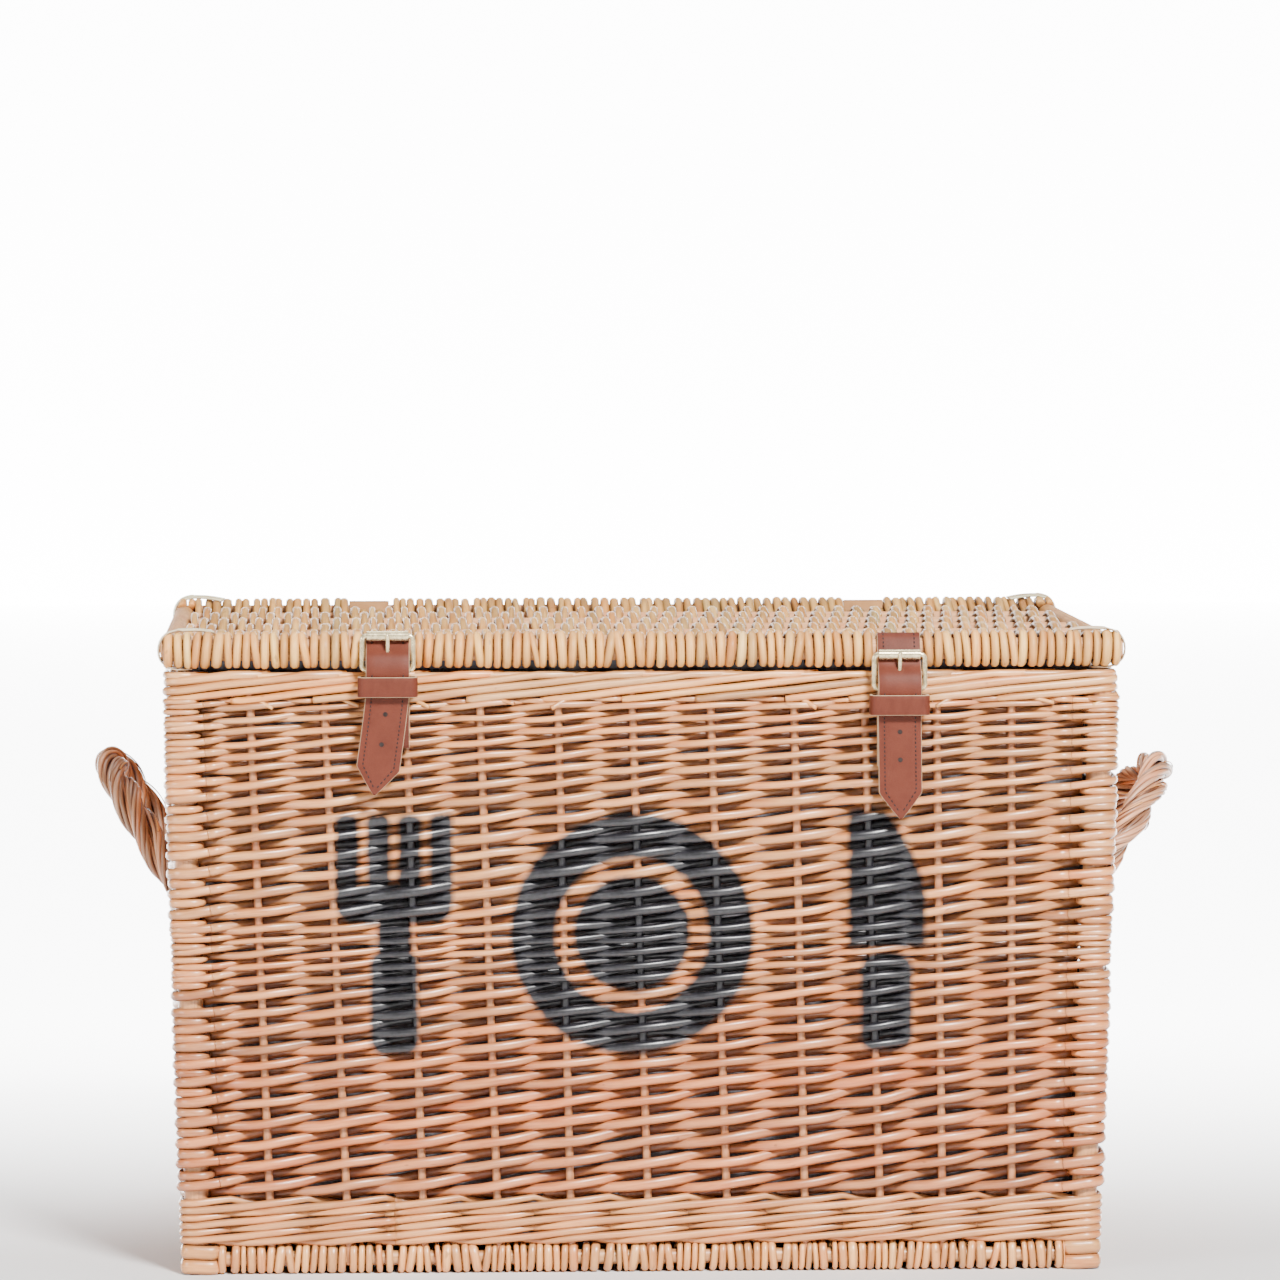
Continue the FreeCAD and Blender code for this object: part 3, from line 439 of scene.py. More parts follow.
def stencil(nt):
    """Black stencilled plate, knife and fork on the front: a soft mask of object position."""
    S.nt = nt
    tc = nt.nodes.new("ShaderNodeTexCoord")
    wob = nt.nodes.new("ShaderNodeTexNoise")
    wob.inputs["Scale"].default_value = 160.0
    nt.links.new(tc.outputs["Object"], wob.inputs["Vector"])
    sep = nt.nodes.new("ShaderNodeSeparateXYZ")
    nt.links.new(tc.outputs["Object"], sep.inputs[0])
    w = S(wob.outputs["Fac"]) * 3.0 - 1.5
    x = S(sep.outputs[0]) * 1000.0 + w
    y = S(sep.outputs[1]) * 1000.0
    z = S(sep.outputs[2]) * 1000.0 + w

    def circle(cx, cz, r):
        dx, dz = x - cx, z - cz
        return S.op("SQRT", dx * dx + dz * dz) - r

    def box(cx, cz, wx, wz, r=2.0):
        qx = (x - cx).abs() - (wx - r)
        qz = (z - cz).abs() - (wz - r)
        ox, oz = qx.max(0.0), qz.max(0.0)
        return S.op("SQRT", ox * ox + oz * oz) + qx.max(qz).min(0.0) - r

    # plate: broad rim and well, cut by two stencil bridges
    rim = circle(-6.0, 190.0, 67.0).max(circle(-6.0, 190.0, 43.0) * -1.0)
    well = circle(-6.0, 190.0, 32.0)
    plate = rim.min(well)
    # fork
    handle = box(-138.0, 152.0, 13.0, 29.0, 8.0)
    neck = box(-138.0, 190.0, 9.0, 16.0, 2.0)
    palm = box(-138.0, 207.0, 31.5, 11.0, 10.0)
    tines = box(-164.0, 231.0, 6.0, 26.0, 4.0).min(box(-146.7, 231.0, 6.0, 26.0, 4.0))
    tines = tines.min(box(-129.3, 231.0, 6.0, 26.0, 4.0)).min(box(-112.0, 231.0, 6.0, 26.0, 4.0))
    fork = handle.min(neck).min(palm).min(tines)
    # knife: handle, gap, and a blade with one curved edge
    grip = box(136.0, 151.0, 14.0, 27.0, 8.0)
    blade = box(136.0, 220.0, 21.0, 38.0, 3.0).max(circle(66.0, 196.0, 92.0))
    knife = grip.min(blade)
    sdf = plate.min(fork).min(knife)
    soft = S.op("MULTIPLY_ADD", sdf, -0.28, 0.62, clamp=True)
    # only what faces forward and is not deep in the weave takes the spray
    level = y + z * (9.0 / 336.0) + 170.0
    reach = S.op("MULTIPLY_ADD", level, -0.30, 1.9, clamp=True)
    return soft * reach, tc


def willow(name, grain=1.0, dark=(104, 50, 26), rough=0.42, coat=0.30, paint=False, node_space=False, flat=None, axis=2, spots=1.0):
    """Peeled willow: per-rod tint, streaks along the rod, brown blotches, leaf scars, a waxy skin."""
    m, nt, p = new_mat(name)
    if node_space:
        tc = nt.nodes.new("ShaderNodeTexCoord")
        vec = tc.outputs["Object"]
        sc = [1.0, 1.0, 1.0]
        sc[axis] = 0.06
        tint = nt.nodes.new("ShaderNodeRGB")
        tint.outputs[0].default_value = (*lin(flat), 1.0)
        tint = tint.outputs[0]
    else:
        vec = attribute(nt, "rodco").outputs["Vector"]
        sc = [0.06, 1.0, 1.0]
        tint = attribute(nt, "tint").outputs["Color"]
    streak = noise(nt, stretch(nt, vec, *sc), 900.0, 4.0, 0.62)
    streak2 = noise(nt, stretch(nt, vec, *[s * (2.2 if s < 1 else 1) for s in sc]), 260.0, 3.0, 0.5)
    blotch = noise(nt, stretch(nt, vec, *[s * (7 if s < 1 else 1) for s in sc]), 55.0, 3.0, 0.6)
    spot = noise(nt, stretch(nt, vec, *[s * (9 if s < 1 else 1) for s in sc]), 210.0, 2.0, 0.5)
    fac = ramp(nt, streak, [(0.30, (0.62, 0.55, 0.50)), (0.52, (0.97, 0.96, 0.95)), (0.72, (1.10, 1.10, 1.12))])
    col = mix(nt, "MULTIPLY", 0.62 * grain, tint, fac)
    fac = ramp(nt, streak2, [(0.32, (0.72, 0.60, 0.52)), (0.55, (1, 1, 1)), (0.8, (1.06, 1.06, 1.08))])
    col = mix(nt, "MULTIPLY", 0.7 * grain, col, fac)
    warm = ramp(nt, blotch, [(0.50, (0, 0, 0)), (0.68, (1, 1, 1))])
    warm2 = nt.nodes.new("ShaderNodeMath")
    warm2.operation = "MULTIPLY"
    nt.links.new(warm, warm2.inputs[0])
    warm2.inputs[1].default_value = 0.42
    col = mix(nt, "MULTIPLY", warm2.outputs[0], col, tuple(lin((235, 178, 138))))
    dots = ramp(nt, spot, [(0.715, (0, 0, 0)), (0.76, (1, 1, 1))])
    dots2 = nt.nodes.new("ShaderNodeMath")
    dots2.operation = "MULTIPLY"
    nt.links.new(dots, dots2.inputs[0])
    dots2.inputs[1].default_value = 0.42 * spots
    col = mix(nt, "MIX", dots2.outputs[0], col, tuple(lin(dark)))
    rgh = None
    if paint:
        mask, _ = stencil(nt)
        tone = noise(nt, vec, 420.0, 3.0, 0.6)
        ink = ramp(nt, tone, [(0.35, tuple(lin((15, 15, 18)))), (0.68, tuple(lin((36, 35, 41))))])
        col = mix(nt, "MIX", mask.s, col, ink)
    nt.links.new(col, p.inputs["Base Color"])
    p.inputs["Roughness"].default_value = rough
    p.inputs["Specular IOR Level"].default_value = 0.3 + coat
    p.inputs["Coat Weight"].default_value = coat
    p.inputs["Coat Roughness"].default_value = 0.24
    b = nt.nodes.new("ShaderNodeBump")
    b.inputs["Strength"].default_value = 0.35
    b.inputs["Distance"].default_value = 0.00035
    nt.links.new(streak, b.inputs["Height"])
    nt.links.new(b.outputs[0], p.inputs["Normal"])
    return m


def leather_mat(name):
    m, nt, p = new_mat(name)
    vec = attribute(nt, "rodco").outputs["Vector"]
    tint = attribute(nt, "tint").outputs["Color"]
    pore = nt.nodes.new("ShaderNodeTexVoronoi")
    pore.inputs["Scale"].default_value = 1300.0
    nt.links.new(vec, pore.inputs["Vector"])
    cloud = noise(nt, vec, 90.0, 4.0, 0.6)
    fine = noise(nt, vec, 1500.0, 3.0, 0.6)
    fac = ramp(nt, cloud, [(0.30, (0.80, 0.74, 0.70)), (0.55, (1, 1, 1)), (0.8, (1.12, 1.12, 1.12))])
    col = mix(nt, "MULTIPLY", 0.8, tint, fac)
    fac = ramp(nt, fine, [(0.3, (0.86, 0.84, 0.82)), (0.6, (1.0, 1.0, 1.0))])
    col = mix(nt, "MULTIPLY", 0.6, col, fac)
    nt.links.new(col, p.inputs["Base Color"])
    p.inputs["Roughness"].default_value = 0.56
    p.inputs["Specular IOR Level"].default_value = 0.22
    b = nt.nodes.new("ShaderNodeBump")
    b.inputs["Strength"].default_value = 0.3
    b.inputs["Distance"].default_value = 0.00022
    nt.links.new(pore.outputs["Distance"], b.inputs["Height"])
    nt.links.new(b.outputs[0], p.inputs["Normal"])
    return m


def plain(name, rgb, rough, metal=0.0, scale=600.0, depth=0.0002):
    m, nt, p = new_mat(name)
    tc = nt.nodes.new("ShaderNodeTexCoord")
    n1 = noise(nt, tc.outputs["Object"], scale, 3.0, 0.6)
    a, b2 = lin([c * 0.82 for c in rgb]), lin([min(255, c * 1.06) for c in rgb])
    col = ramp(nt, n1, [(0.32, tuple(a)), (0.64, tuple(b2))])
    nt.links.new(col, p.inputs["Base Color"])
    p.inputs["Metallic"].default_value = metal
    rr = ramp(nt, noise(nt, tc.outputs["Object"], scale * 0.4, 2.0), [(0.3, (rough * 0.8,) * 3), (0.7, (min(1, rough * 1.3),) * 3)])
    nt.links.new(rr, p.inputs["Roughness"])
    b = nt.nodes.new("ShaderNodeBump")
    b.inputs["Strength"].default_value = 0.25
    b.inputs["Distance"].default_value = depth
    nt.links.new(n1, b.inputs["Height"])
    nt.links.new(b.outputs[0], p.inputs["Normal"])
    return m


def cloth_mat(name):
    m, nt, p = new_mat(name)
    vec = attribute(nt, "rodco").outputs["Vector"]
    w1 = nt.nodes.new("ShaderNodeTexWave")
    w1.bands_direction = "X"
    w1.inputs["Scale"].default_value = 420.0
    w1.inputs["Distortion"].default_value = 1.2
    w2 = nt.nodes.new("ShaderNodeTexWave")
    w2.bands_direction = "Y"
    w2.inputs["Scale"].default_value = 420.0
    w2.inputs["Distortion"].default_value = 1.2
    nt.links.new(vec, w1.inputs["Vector"])
    nt.links.new(vec, w2.inputs["Vector"])
    s = nt.nodes.new("ShaderNodeMath")
    s.operation = "MULTIPLY"
    nt.links.new(w1.outputs["Fac"], s.inputs[0])
    nt.links.new(w2.outputs["Fac"], s.inputs[1])
    col = ramp(nt, s.outputs[0], [(0.0, tuple(lin((104, 101, 105)))), (0.7, tuple(lin((150, 147, 150))))])
    cloud = noise(nt, vec, 40.0, 3.0)
    fac = ramp(nt, cloud, [(0.3, (0.84, 0.84, 0.86)), (0.7, (1.05, 1.05, 1.05))])
    col = mix(nt, "MULTIPLY", 0.8, col, fac)
    nt.links.new(col, p.inputs["Base Color"])
    p.inputs["Roughness"].default_value = 0.92
    p.inputs["Specular IOR Level"].default_value = 0.2
    b = nt.nodes.new("ShaderNodeBump")
    b.inputs["Strength"].default_value = 0.4
    b.inputs["Distance"].default_value = 0.0003
    nt.links.new(s.outputs[0], b.inputs["Height"])
    nt.links.new(b.outputs[0], p.inputs["Normal"])
    return m


UPPER, LOWER = np.array([219, 152, 95.0]), np.array([209, 133, 82.0])
PALE = np.array([238, 170, 104.0])
LID = np.array([216, 164, 92.0])
LID_FACE = np.array([240, 178, 100.0])
ROPE = np.array([210, 154, 114.0])

M_SIDE = willow("willow_side", paint=True, rough=0.37, coat=0.42)
M_PALE = willow("willow_border", grain=0.9, rough=0.38, coat=0.40)
M_LID = willow("willow_lid_rods", grain=1.0, rough=0.5, coat=0.10)
M_ROPE = willow("willow_rope_rods", grain=1.2, rough=0.5)
M_STAKE_Z = willow("willow_stake", node_space=True, flat=(206, 140, 92), axis=2)
M_STAKE_FRONT = willow("willow_stake_front", node_space=True, flat=(206, 140, 92), axis=2, paint=True)
M_POST = willow("willow_post", node_space=True, flat=(222, 158, 104), axis=2, grain=0.9)
M_STICK_X = willow("willow_stick", node_space=True, flat=(228, 172, 124), axis=0, grain=0.9, rough=0.75, coat=0.0)
M_STICK_Y = willow("willow_end_stick", node_space=True, flat=(196, 142, 84), axis=1, grain=0.9, rough=0.7, coat=0.0)
M_SKEIN = willow("willow_skein", node_space=True, flat=(243, 217, 172), axis=0, grain=0.7)
M_LEATHER = leather_mat("tan_leather")
M_THREAD = plain("stitch_thread", (46, 20, 13), 0.8, scale=2500.0)
# near-black material of painted shade for the punched holes
M_HOLE_SHADE = plain("punched_hole_shade", (34, 20, 15), 0.9, scale=900.0)
M_BRASS = plain("pale_brass", (240, 222, 176), 0.24, metal=0.72, scale=500.0, depth=0.00001)
M_CLOTH = cloth_mat("grey_lining_cloth")


def rod_tint(rng, base, n, x=None, spread=0.07, hue=0.035, wander=0.04):
    """Tint along one rod, in linear colour."""
    c = np.asarray(base, float)
    c = np.broadcast_to(c, (n, 3)).copy()
    k = 1.0 + rng.normal(0, spread)
    h = rng.normal(0, hue)
    c *= np.clip(k, 0.80, 1.10)
    c[:, 1] *= 1 + h * 0.55
    c[:, 2] *= 1 + h * 1.3
    if x is not None:
        c *= (1 + smooth_noise(rng, x, 160.0, wander))[:, None]
    return lin(np.clip(c, 0, 252))


def catmull(points, step=1.2):
    pts = np.asarray(points, float)
    ext = np.concatenate([[2 * pts[0] - pts[1]], pts, [2 * pts[-1] - pts[-2]]])
    out = []
    for i in range(1, len(ext) - 2):
        p0, p1, p2, p3 = ext[i - 1 : i + 3]
        m = max(2, int(np.linalg.norm(p2 - p1) / step))
        t = np.linspace(0, 1, m, endpoint=False)[:, None]
        out.append(0.5 * ((2 * p1) + (-p0 + p2) * t + (2 * p0 - 5 * p1 + 4 * p2 - p3) * t**2 + (-p0 + 3 * p1 - 3 * p2 + p3) * t**3))
    out.append(pts[-1:])
    return np.concatenate(out)


# ------------------------------------------------------------- woven sides
def course_z(u):
    """Height of course centre u."""
    return np.interp(u + 0.5, np.arange(len(COURSES)), COURSES)


PITCH = np.convolve(np.pad(np.diff(COURSES), 1, mode="edge"), [0.25, 0.5, 0.25], "valid")


def course_pitch(u):
    return np.interp(u, np.arange(NC), PITCH)


grid = np.concatenate([np.arange(-9 * 8, 31 * 8 + 1) / 8.0] + [c + s * np.arange(0, 19) / 48.0 for c in CORNERS for s in (-1, 1)] + [-9 + np.arange(0, 19) / 48.0])
T_GRID = np.unique(np.round(grid[(grid >= -9) & (grid <= 31)], 6))
CORNER_AT = np.array([-9, -1, 11, 19, 31], float)


def corner_warp(t, hold=0.22):
    """Time for the depth wave only: it rests at each corner post."""
    near = CORNER_AT[np.abs(t[:, None] - CORNER_AT[None]).argmin(1)]
    d = t - near
    a = np.abs(d)
    w = np.where(a < 1, np.maximum(0, (a - hold) / (1 - hold)), a)
    return near + np.sign(d) * w, a


def open_pocket(P, N):
    """Parts the side rods where the rope handles go in."""
    side = np.abs(N[:, 0]) > 0.9
    for sy in (-1, 1):
        u = P[:, 1] - sy * 65.5
        w = np.exp(-((u / 14.0) ** 2)) * side
        dz = P[:, 2] - 207.0
        P[:, 2] += np.where(dz >= 0, 1, -1) * 9.5 * w * np.exp(-(np.abs(dz) / 15.0))
    return P


PIECES = {}
WALLS = {
    "front": (-0.625, 10.625),
    "right": (11.375, 18.625),
    "back": (19.375, 30.625),
    "left": (-8.625, -1.375),
}
for side in WALLS:
    PIECES[side] = Piece(f"woven_{side}")
for c, label in ((-1, "front_left"), (11, "front_right"), (19, "back_right"), (31, "back_left")):
    PIECES[label] = Piece(f"wrapped_{label}")


def add_rod(piece, P, N, b, a, tint, seed, ring=RING8):
    piece.sweep(P, N, oval(b, a, len(P), ring), tint, seed=seed)


for fam in (0, 1):
    for j in range(-17, 40):
        rng = np.random.default_rng(1000 + fam * 100 + j + 40)
        u = j + (T_GRID - fam) / 2.0
        keep = (u > -0.75) & (u < NC - 0.05)
        if keep.sum() < 6:
            continue
        t, uu = T_GRID[keep], u[keep]
        pitch = course_pitch(uu)
        size = rng.uniform(0.90, 1.08) * (1 + smooth_noise(rng, t, 9.0, 0.05))
        wide = 0.282 + 0.012 * np.clip(1.25 - np.abs(t[:, None] - CORNER_AT[None]).min(1) / 0.5, 0, 1)
        b = np.clip(wide * pitch, 1.35, 3.05) * size
        a = np.clip(0.90 * b, 1.35, 2.35)
        z = course_z(uu) + smooth_noise(rng, t, 2.3, 0.6) + rng.normal(0, 0.3)
        tw, near = corner_warp(t)
        wave = np.cos(np.pi * (tw - fam))
        wave = np.tanh(0.6 * wave) / math.tanh(0.6)
        d = wave * (2.25 + a) + smooth_noise(rng, t, 3.1, 0.2)
        # the two ends of each rod are tucked inside
        d -= 3.5 * np.exp(-((uu + 0.75) / 0.12)) + 3.0 * np.exp((uu - NC + 0.05) / 0.12)
        P, N = round_path(arc_at(t, z), z, d)
        P = open_pocket(P, N)
        mixz = np.clip((z - 110.0) / 90.0, 0, 1)[:, None]
        base = LOWER * (1 - mixz) + UPPER * mixz
        tint = rod_tint(rng, base, len(t), arc_at(t, z))
        # painted shade: rods darken, and warm, where they dip deep behind the stakes
        deep = np.clip((d + 3.8) / 6.0, 0, 1)[:, None]
        tint = tint * (np.array([0.60, 0.52, 0.46]) * (1 - deep) + deep)
        seed = rng.uniform(0, 40)
        for side, (t0, t1) in WALLS.items():
            if fam == 0:  # this family ends inside, behind the posts
                m = (t >= t0 - 0.126) & (t <= t1 + 0.126) & (np.isclose(np.mod(t * 8, 1), 0) | False)
            else:
                m = (t >= t0 - 1e-6) & (t <= t1 + 1e-6)
            if m.sum() > 3:
                add_rod(PIECES[side], P[m], N[m], b[m], a[m], tint[m], seed)
        if fam == 1:
            for c, label in ((-1, "front_left"), (11, "front_right"), (19, "back_right"), (31, "back_left"), (-9, "back_left")):
                m = np.abs(t - c) <= 0.3751
                if m.sum() > 3:
                    add_rod(PIECES[label], P[m], N[m], b[m], a[m], tint[m], seed)

# short bands turned round each post between the long rods
CORNER_DIRS = {
    "front_left": ((-1, 0), (0, -1), -1),
    "front_right": ((0, -1), (1, 0), 11),
    "back_right": ((1, 0), (0, 1), 19),
    "back_left": ((0, 1), (-1, 0), 31),
}
for label, (n1, n2, tc) in CORNER_DIRS.items():
    n1, n2 = np.array(n1, float), np.array(n2, float)
    sx, sy = np.sign(n1 + n2)
    for j in range(0, NC):
        rng = np.random.default_rng(5000 + tc * 50 + j)
        if rng.random() < 0.10:
            continue
        uj = j + 0.5
        if uj > NC - 0.4:
            continue
        z0 = course_z(np.array([uj]))[0] + rng.normal(0, 0.3)
        pitch = course_pitch(np.array([uj]))[0]
        psi = np.radians(np.linspace(-118 - rng.uniform(0, 12), 208 + rng.uniform(0, 12), 40))
        c, s = np.cos(psi), np.sin(psi)
        r = 8.75 / (np.abs(c) ** 2.9 + np.abs(s) ** 2.9) ** (1 / 2.9)
        inside = np.clip((np.abs(psi - math.pi / 4) - math.radians(135)) / 0.6, 0, 1)
        z = z0 + np.linspace(-0.6, 0.6, 40) * rng.uniform(0.3, 1.4)
        cx, cy = sx * (hx(z) - 10.5), sy * (hy(z) - 10.5)
        dirs = c[:, None] * n1 + s[:, None] * n2
        P = np.stack([cx + r * dirs[:, 0], cy + r * dirs[:, 1], z], 1)
        N = np.stack([dirs[:, 0], dirs[:, 1], 0 * z], 1)
        b = min(0.245 * pitch, 2.6) * rng.uniform(0.92, 1.08) * (1 - 0.35 * inside)
        mixz = np.clip((z0 - 110.0) / 90.0, 0, 1)
        tint = rod_tint(rng, (LOWER * (1 - mixz) + UPPER * mixz) * 1.01, 40, psi * 9)
        PIECES[label].sweep(P, N, oval(b, np.full(40, 1.9)), tint, seed=rng.uniform(0, 40))

# --------------------------------------------------------------- waling band
wal = Piece("waling_rods")
for row in range(3):
    for r in range(3):
        rng = np.random.default_rng(7000 + row * 10 + r)
        t = T_GRID
        phase = np.mod(t - r + 0.5 + (0, 1, 2)[row] * 1.0, 3.0)
        rise = np.where(phase < 2, -1 + phase, 1 - 2 * (phase - 2))
        z = 17.0 + 8.33 * (row + 0.5) + 4.15 * rise + smooth_noise(rng, t, 2.6, 0.3)
        z = np.clip(z, 18.0, 42.5)
        d = np.where(phase < 0.5, -np.cos(math.pi * (phase + 0.5)), np.where(phase < 1.5, 1.0, np.cos(math.pi * (phase - 1.5))))
        a = 1.85
        d = d * (2.25 + a)
        near = np.abs(t[:, None] - CORNER_AT[None]).min(1)
        hold = np.clip(1.3 - near / 0.45, 0, 1)
        d = np.where(hold > 0, np.maximum(d, d * (1 - hold) + hold * np.maximum(d, 0.5)), d)
        P, N = round_path(arc_at(t, z), z, d)
        b = 2.2 * (1 + smooth_noise(rng, t, 7.0, 0.10))
        tint = rod_tint(rng, UPPER * 1.02, len(t), arc_at(t, z), wander=0.06, spread=0.09)
        cut = [0] + [int(np.searchsorted(t, v)) for v in (1.625, 12.5, 22.625)] + [len(t) - 1]
        for i0, i1 in zip(cut, cut[1:]):
            wal.sweep(P[i0 : i1 + 1], N[i0 : i1 + 1], oval(b[i0 : i1 + 1], np.full(i1 + 1 - i0, a)), tint[i0 : i1 + 1], seed=rng.uniform(0, 40))

# ---------------------------------------------------------------- top border
bor = Piece("border_rods")
for k in range(40):
    rng = np.random.default_rng(7600 + k)
    lo = -9 + k - rng.uniform(0.1, 0.3)
    t = np.linspace(lo, lo + 3.55, 56)
    near = np.abs(t[:, None] - CORNER_AT[None]).min(1)
    ph = t - (-9 + k)
    z = np.minimum(321.4 + 14.4 * np.clip(ph / 3.0, -0.04, 1.03), 334.6) + smooth_noise(rng, t, 3.0, 0.3)
    d = 2.75 - 6.0 * np.exp(-((ph + 0.30) / 0.10)) - 7.5 * np.clip((ph - 2.85) / 0.6, 0, 1) ** 1.5
    d = np.where(near < 0.2, np.maximum(d, 0.0), d)
    P, N = round_path(arc_at(t, z), z, d)
    b = np.full(len(t), 2.4) * (1 + smooth_noise(rng, t, 5.0, 0.12)) * rng.uniform(0.88, 1.08)
    d = d + rng.uniform(-0.7, 0.9)
    P, N = round_path(arc_at(t, z), z, d)
    tint = rod_tint(rng, PALE * 0.985, len(t), arc_at(t, z), spread=0.10, hue=0.05)
    bor.sweep(P, N, oval(b, np.full(len(t), 2.4)), tint, seed=rng.uniform(0, 40))
    # the trimmed tip of a worked-away rod, below the border beside its stake
    if rng.random() < 0.62:
        tt = (-9 + k) + rng.uniform(0.05, 0.22) + np.linspace(0, 0.24, 6) * rng.choice([-1, 1])
        zt = np.linspace(321.5, rng.uniform(315.5, 318.8), 6)
        dt = np.linspace(1.5, rng.uniform(4.5, 6.3), 6)
        P, N = round_path(arc_at(tt, zt), zt, dt)
        bt = np.full(6, rng.uniform(1.0, 1.6))
        bor.sweep(P, N, oval(bt, bt), rod_tint(rng, PALE * (1.03, 1.02, 0.98), 6), seed=rng.uniform(0, 40))
for k, (zz, dd) in enumerate(((324.2, -2.9), (329.0, -3.3), (333.6, -2.9), (334.0, 1.0))):
    rng = np.random.default_rng(7700 + k)
    t = T_GRID
    z = zz + smooth_noise(rng, t, 4.0, 0.3)
    d = np.full(len(t), dd) + smooth_noise(rng, t, 5.0, 0.3)
    near = np.abs(t[:, None] - CORNER_AT[None]).min(1)
    P, N = round_path(arc_at(t, z), z, d)
    cut = [0] + [int(np.searchsorted(t, v)) for v in (1.625, 12.5, 22.625)] + [len(t) - 1]
    for i0, i1 in zip(cut, cut[1:]):
        n = i1 + 1 - i0
        tint = rod_tint(rng, PALE * 0.97, n, arc_at(t, z)[i0 : i1 + 1])
        bor.sweep(P[i0 : i1 + 1], N[i0 : i1 + 1], oval(np.full(n, 2.3), np.full(n, 2.1 if dd < 0 else 1.9)), tint, seed=rng.uniform(0, 40))

# --------------------------------------------------------------- foot border
foot = Piece("foot_wraps")
rng = np.random.default_rng(8100)
ang = np.radians(np.linspace(90, -90, 9))
fn = np.concatenate([[-13.5, -9.5], -5.6 + 3.3 * np.cos(ang), [-9.5, -13.5]])
fz = np.concatenate([[14.3, 14.7], 8.5 + 6.3 * np.sin(ang), [2.3, 2.4]])
for wx, wy, tx, ty, half, out in ((0, -1, 1, 0, 257.5, 176.0), (1, 0, 0, 1, 176.0, 257.5), (0, 1, -1, 0, 257.5, 176.0), (-1, 0, 0, -1, 176.0, 257.5)):
    s = -half + 21.0
    while s < half - 21.5:
        w = float(np.clip(rng.normal(4.6, 0.75), 3.1, 6.2))
        w = min(w, half - 21.0 - s) if half - 21.0 - s < 6.4 else w
        mid = s + w / 2
        lean = rng.normal(0, 0.55)
        shift = lean * (fz - 8.5) / 6.3
        push = rng.normal(0, 0.22)
        P = np.stack([wx * (out + fn + push) + tx * (mid + shift), wy * (out + fn + push) + ty * (mid + shift), fz + 0 * fn], 1)
        N = np.stack([wx * np.maximum(fn + 5.6, 0) + 0 * fz, wy * np.maximum(fn + 5.6, 0) + 0 * fz, (fz - 8.5)], 1)
        tint = rod_tint(rng, PALE * (1.0, 0.985, 0.96), len(P), None, spread=0.07)
        foot.sweep(P, N, oval(np.full(len(P), w / 2 * 0.97), np.full(len(P), 2.05)), tint, seed=rng.uniform(0, 40))
        s += w + (rng.uniform(1.0, 3.2) if rng.random() < 0.16 else rng.uniform(0.0, 0.25))
    ss = np.linspace(-half + 18.0, half - 18.0, 60)
    P = np.stack([wx * (out - 7.4) + tx * ss, wy * (out - 7.4) + ty * ss, 8.4 + smooth_noise(rng, ss, 200.0, 0.3)], 1)
    foot.sweep(P, (wx, wy, 0), oval(np.full(60, 4.4), np.full(60, 3.6)), rod_tint(rng, PALE * 0.95, 60, ss), seed=rng.uniform(0, 40))
for n1, n2, _ in CORNER_DIRS.values():
    n1, n2 = np.array(n1, float), np.array(n2, float)
    sx, sy = np.sign(n1 + n2)
    for zc, bb in ((4.4, 4.2), (12.6, 4.2)):
        psi = np.radians(np.linspace(-112, 202, 44))
        c, s = np.cos(psi), np.sin(psi)
        r = 1 / (np.abs(c) ** 4.5 + np.abs(s) ** 4.5) ** (1 / 4.5)
        ex = 9.6
        # stretched box path: near faces flush with the foot, far ends turned inside
        lu = c * r * ex
        lv = s * r * ex
        cx, cy = sx * (257.5 - 11.6), sy * (176.0 - 11.6)
        P = np.stack([cx + lu * n1[0] + lv * n2[0], cy + lu * n1[1] + lv * n2[1], zc + 0.25 * np.sin(psi * 2)], 1)
        N = np.stack([c * n1[0] + s * n2[0], c * n1[1] + s * n2[1], 0 * c], 1)
        tint = rod_tint(rng, PALE * 0.97, len(P), psi * 9)
        foot.sweep(P, N, oval(np.full(len(P), bb), np.full(len(P), 1.95)), tint, seed=rng.uniform(0, 40))
    # the ends of the foot rods show as a dark packed core behind the bands
    P = np.stack([np.full(2, sx * (257.5 - 11.6)), np.full(2, sy * (176.0 - 11.6)), np.array([0.6, 16.6])], 1)
    foot.sweep(P, (1, 0, 0), oval(np.full(2, 8.0), np.full(2, 8.0)), rod_tint(rng, PALE * 0.8, 2), seed=rng.uniform(0, 40))

# ---------------------------------------------------------------- base weave
base = Piece("base_rods")
rng = np.random.default_rng(8200)
by = np.array([-160.0, -141, -94, -47, 0, 47, 94, 141, 160])
for i in range(78):
    x = -237.0 + 474.0 * i / 77
    sgn = np.array([0.0] + [(-1.0) ** (i + m) for m in range(7)] + [0.0])
    yy = np.linspace(-160, 160, 61)
    k = np.clip(np.searchsorted(by, yy, side="right") - 1, 0, 7)
    f = (yy - by[k]) / (by[k + 1] - by[k])
    f = (1 - np.cos(math.pi * f)) / 2
    z = 8.0 + 6.0 * (sgn[k] * (1 - f) + sgn[k + 1] * f)
    xs = x + smooth_noise(rng, yy, 120.0, 0.5)
    P = np.stack([xs, yy, z], 1)
    tint = rod_tint(rng, PALE * 0.93, len(P), yy)
    base.sweep(P, (0, 0, 1), oval(np.full(61, 2.95), np.full(61, 1.75), ring=RING6), tint, seed=rng.uniform(0, 40))

# ----------------------------------------------------------------- lid weave
lid = Piece("lid_rods")
rng = np.random.default_rng(8300)
LY = -179.0 + 59.667 * np.arange(7)
turn_r = 8.2
pos = []
x = -265.5
while x < 265.5:
    w = float(np.clip(rng.normal(5.35, 0.55), 4.1, 6.6))
    if 265.5 - x < 7.4:
        w = 265.5 - x
    pos.append((x + w / 2, w))
    x += w


def in_slot(x, pad=0.0):
    return any(cx - 13.5 - pad < x < cx + 16 + pad for cx, _ in STRAPS.values())


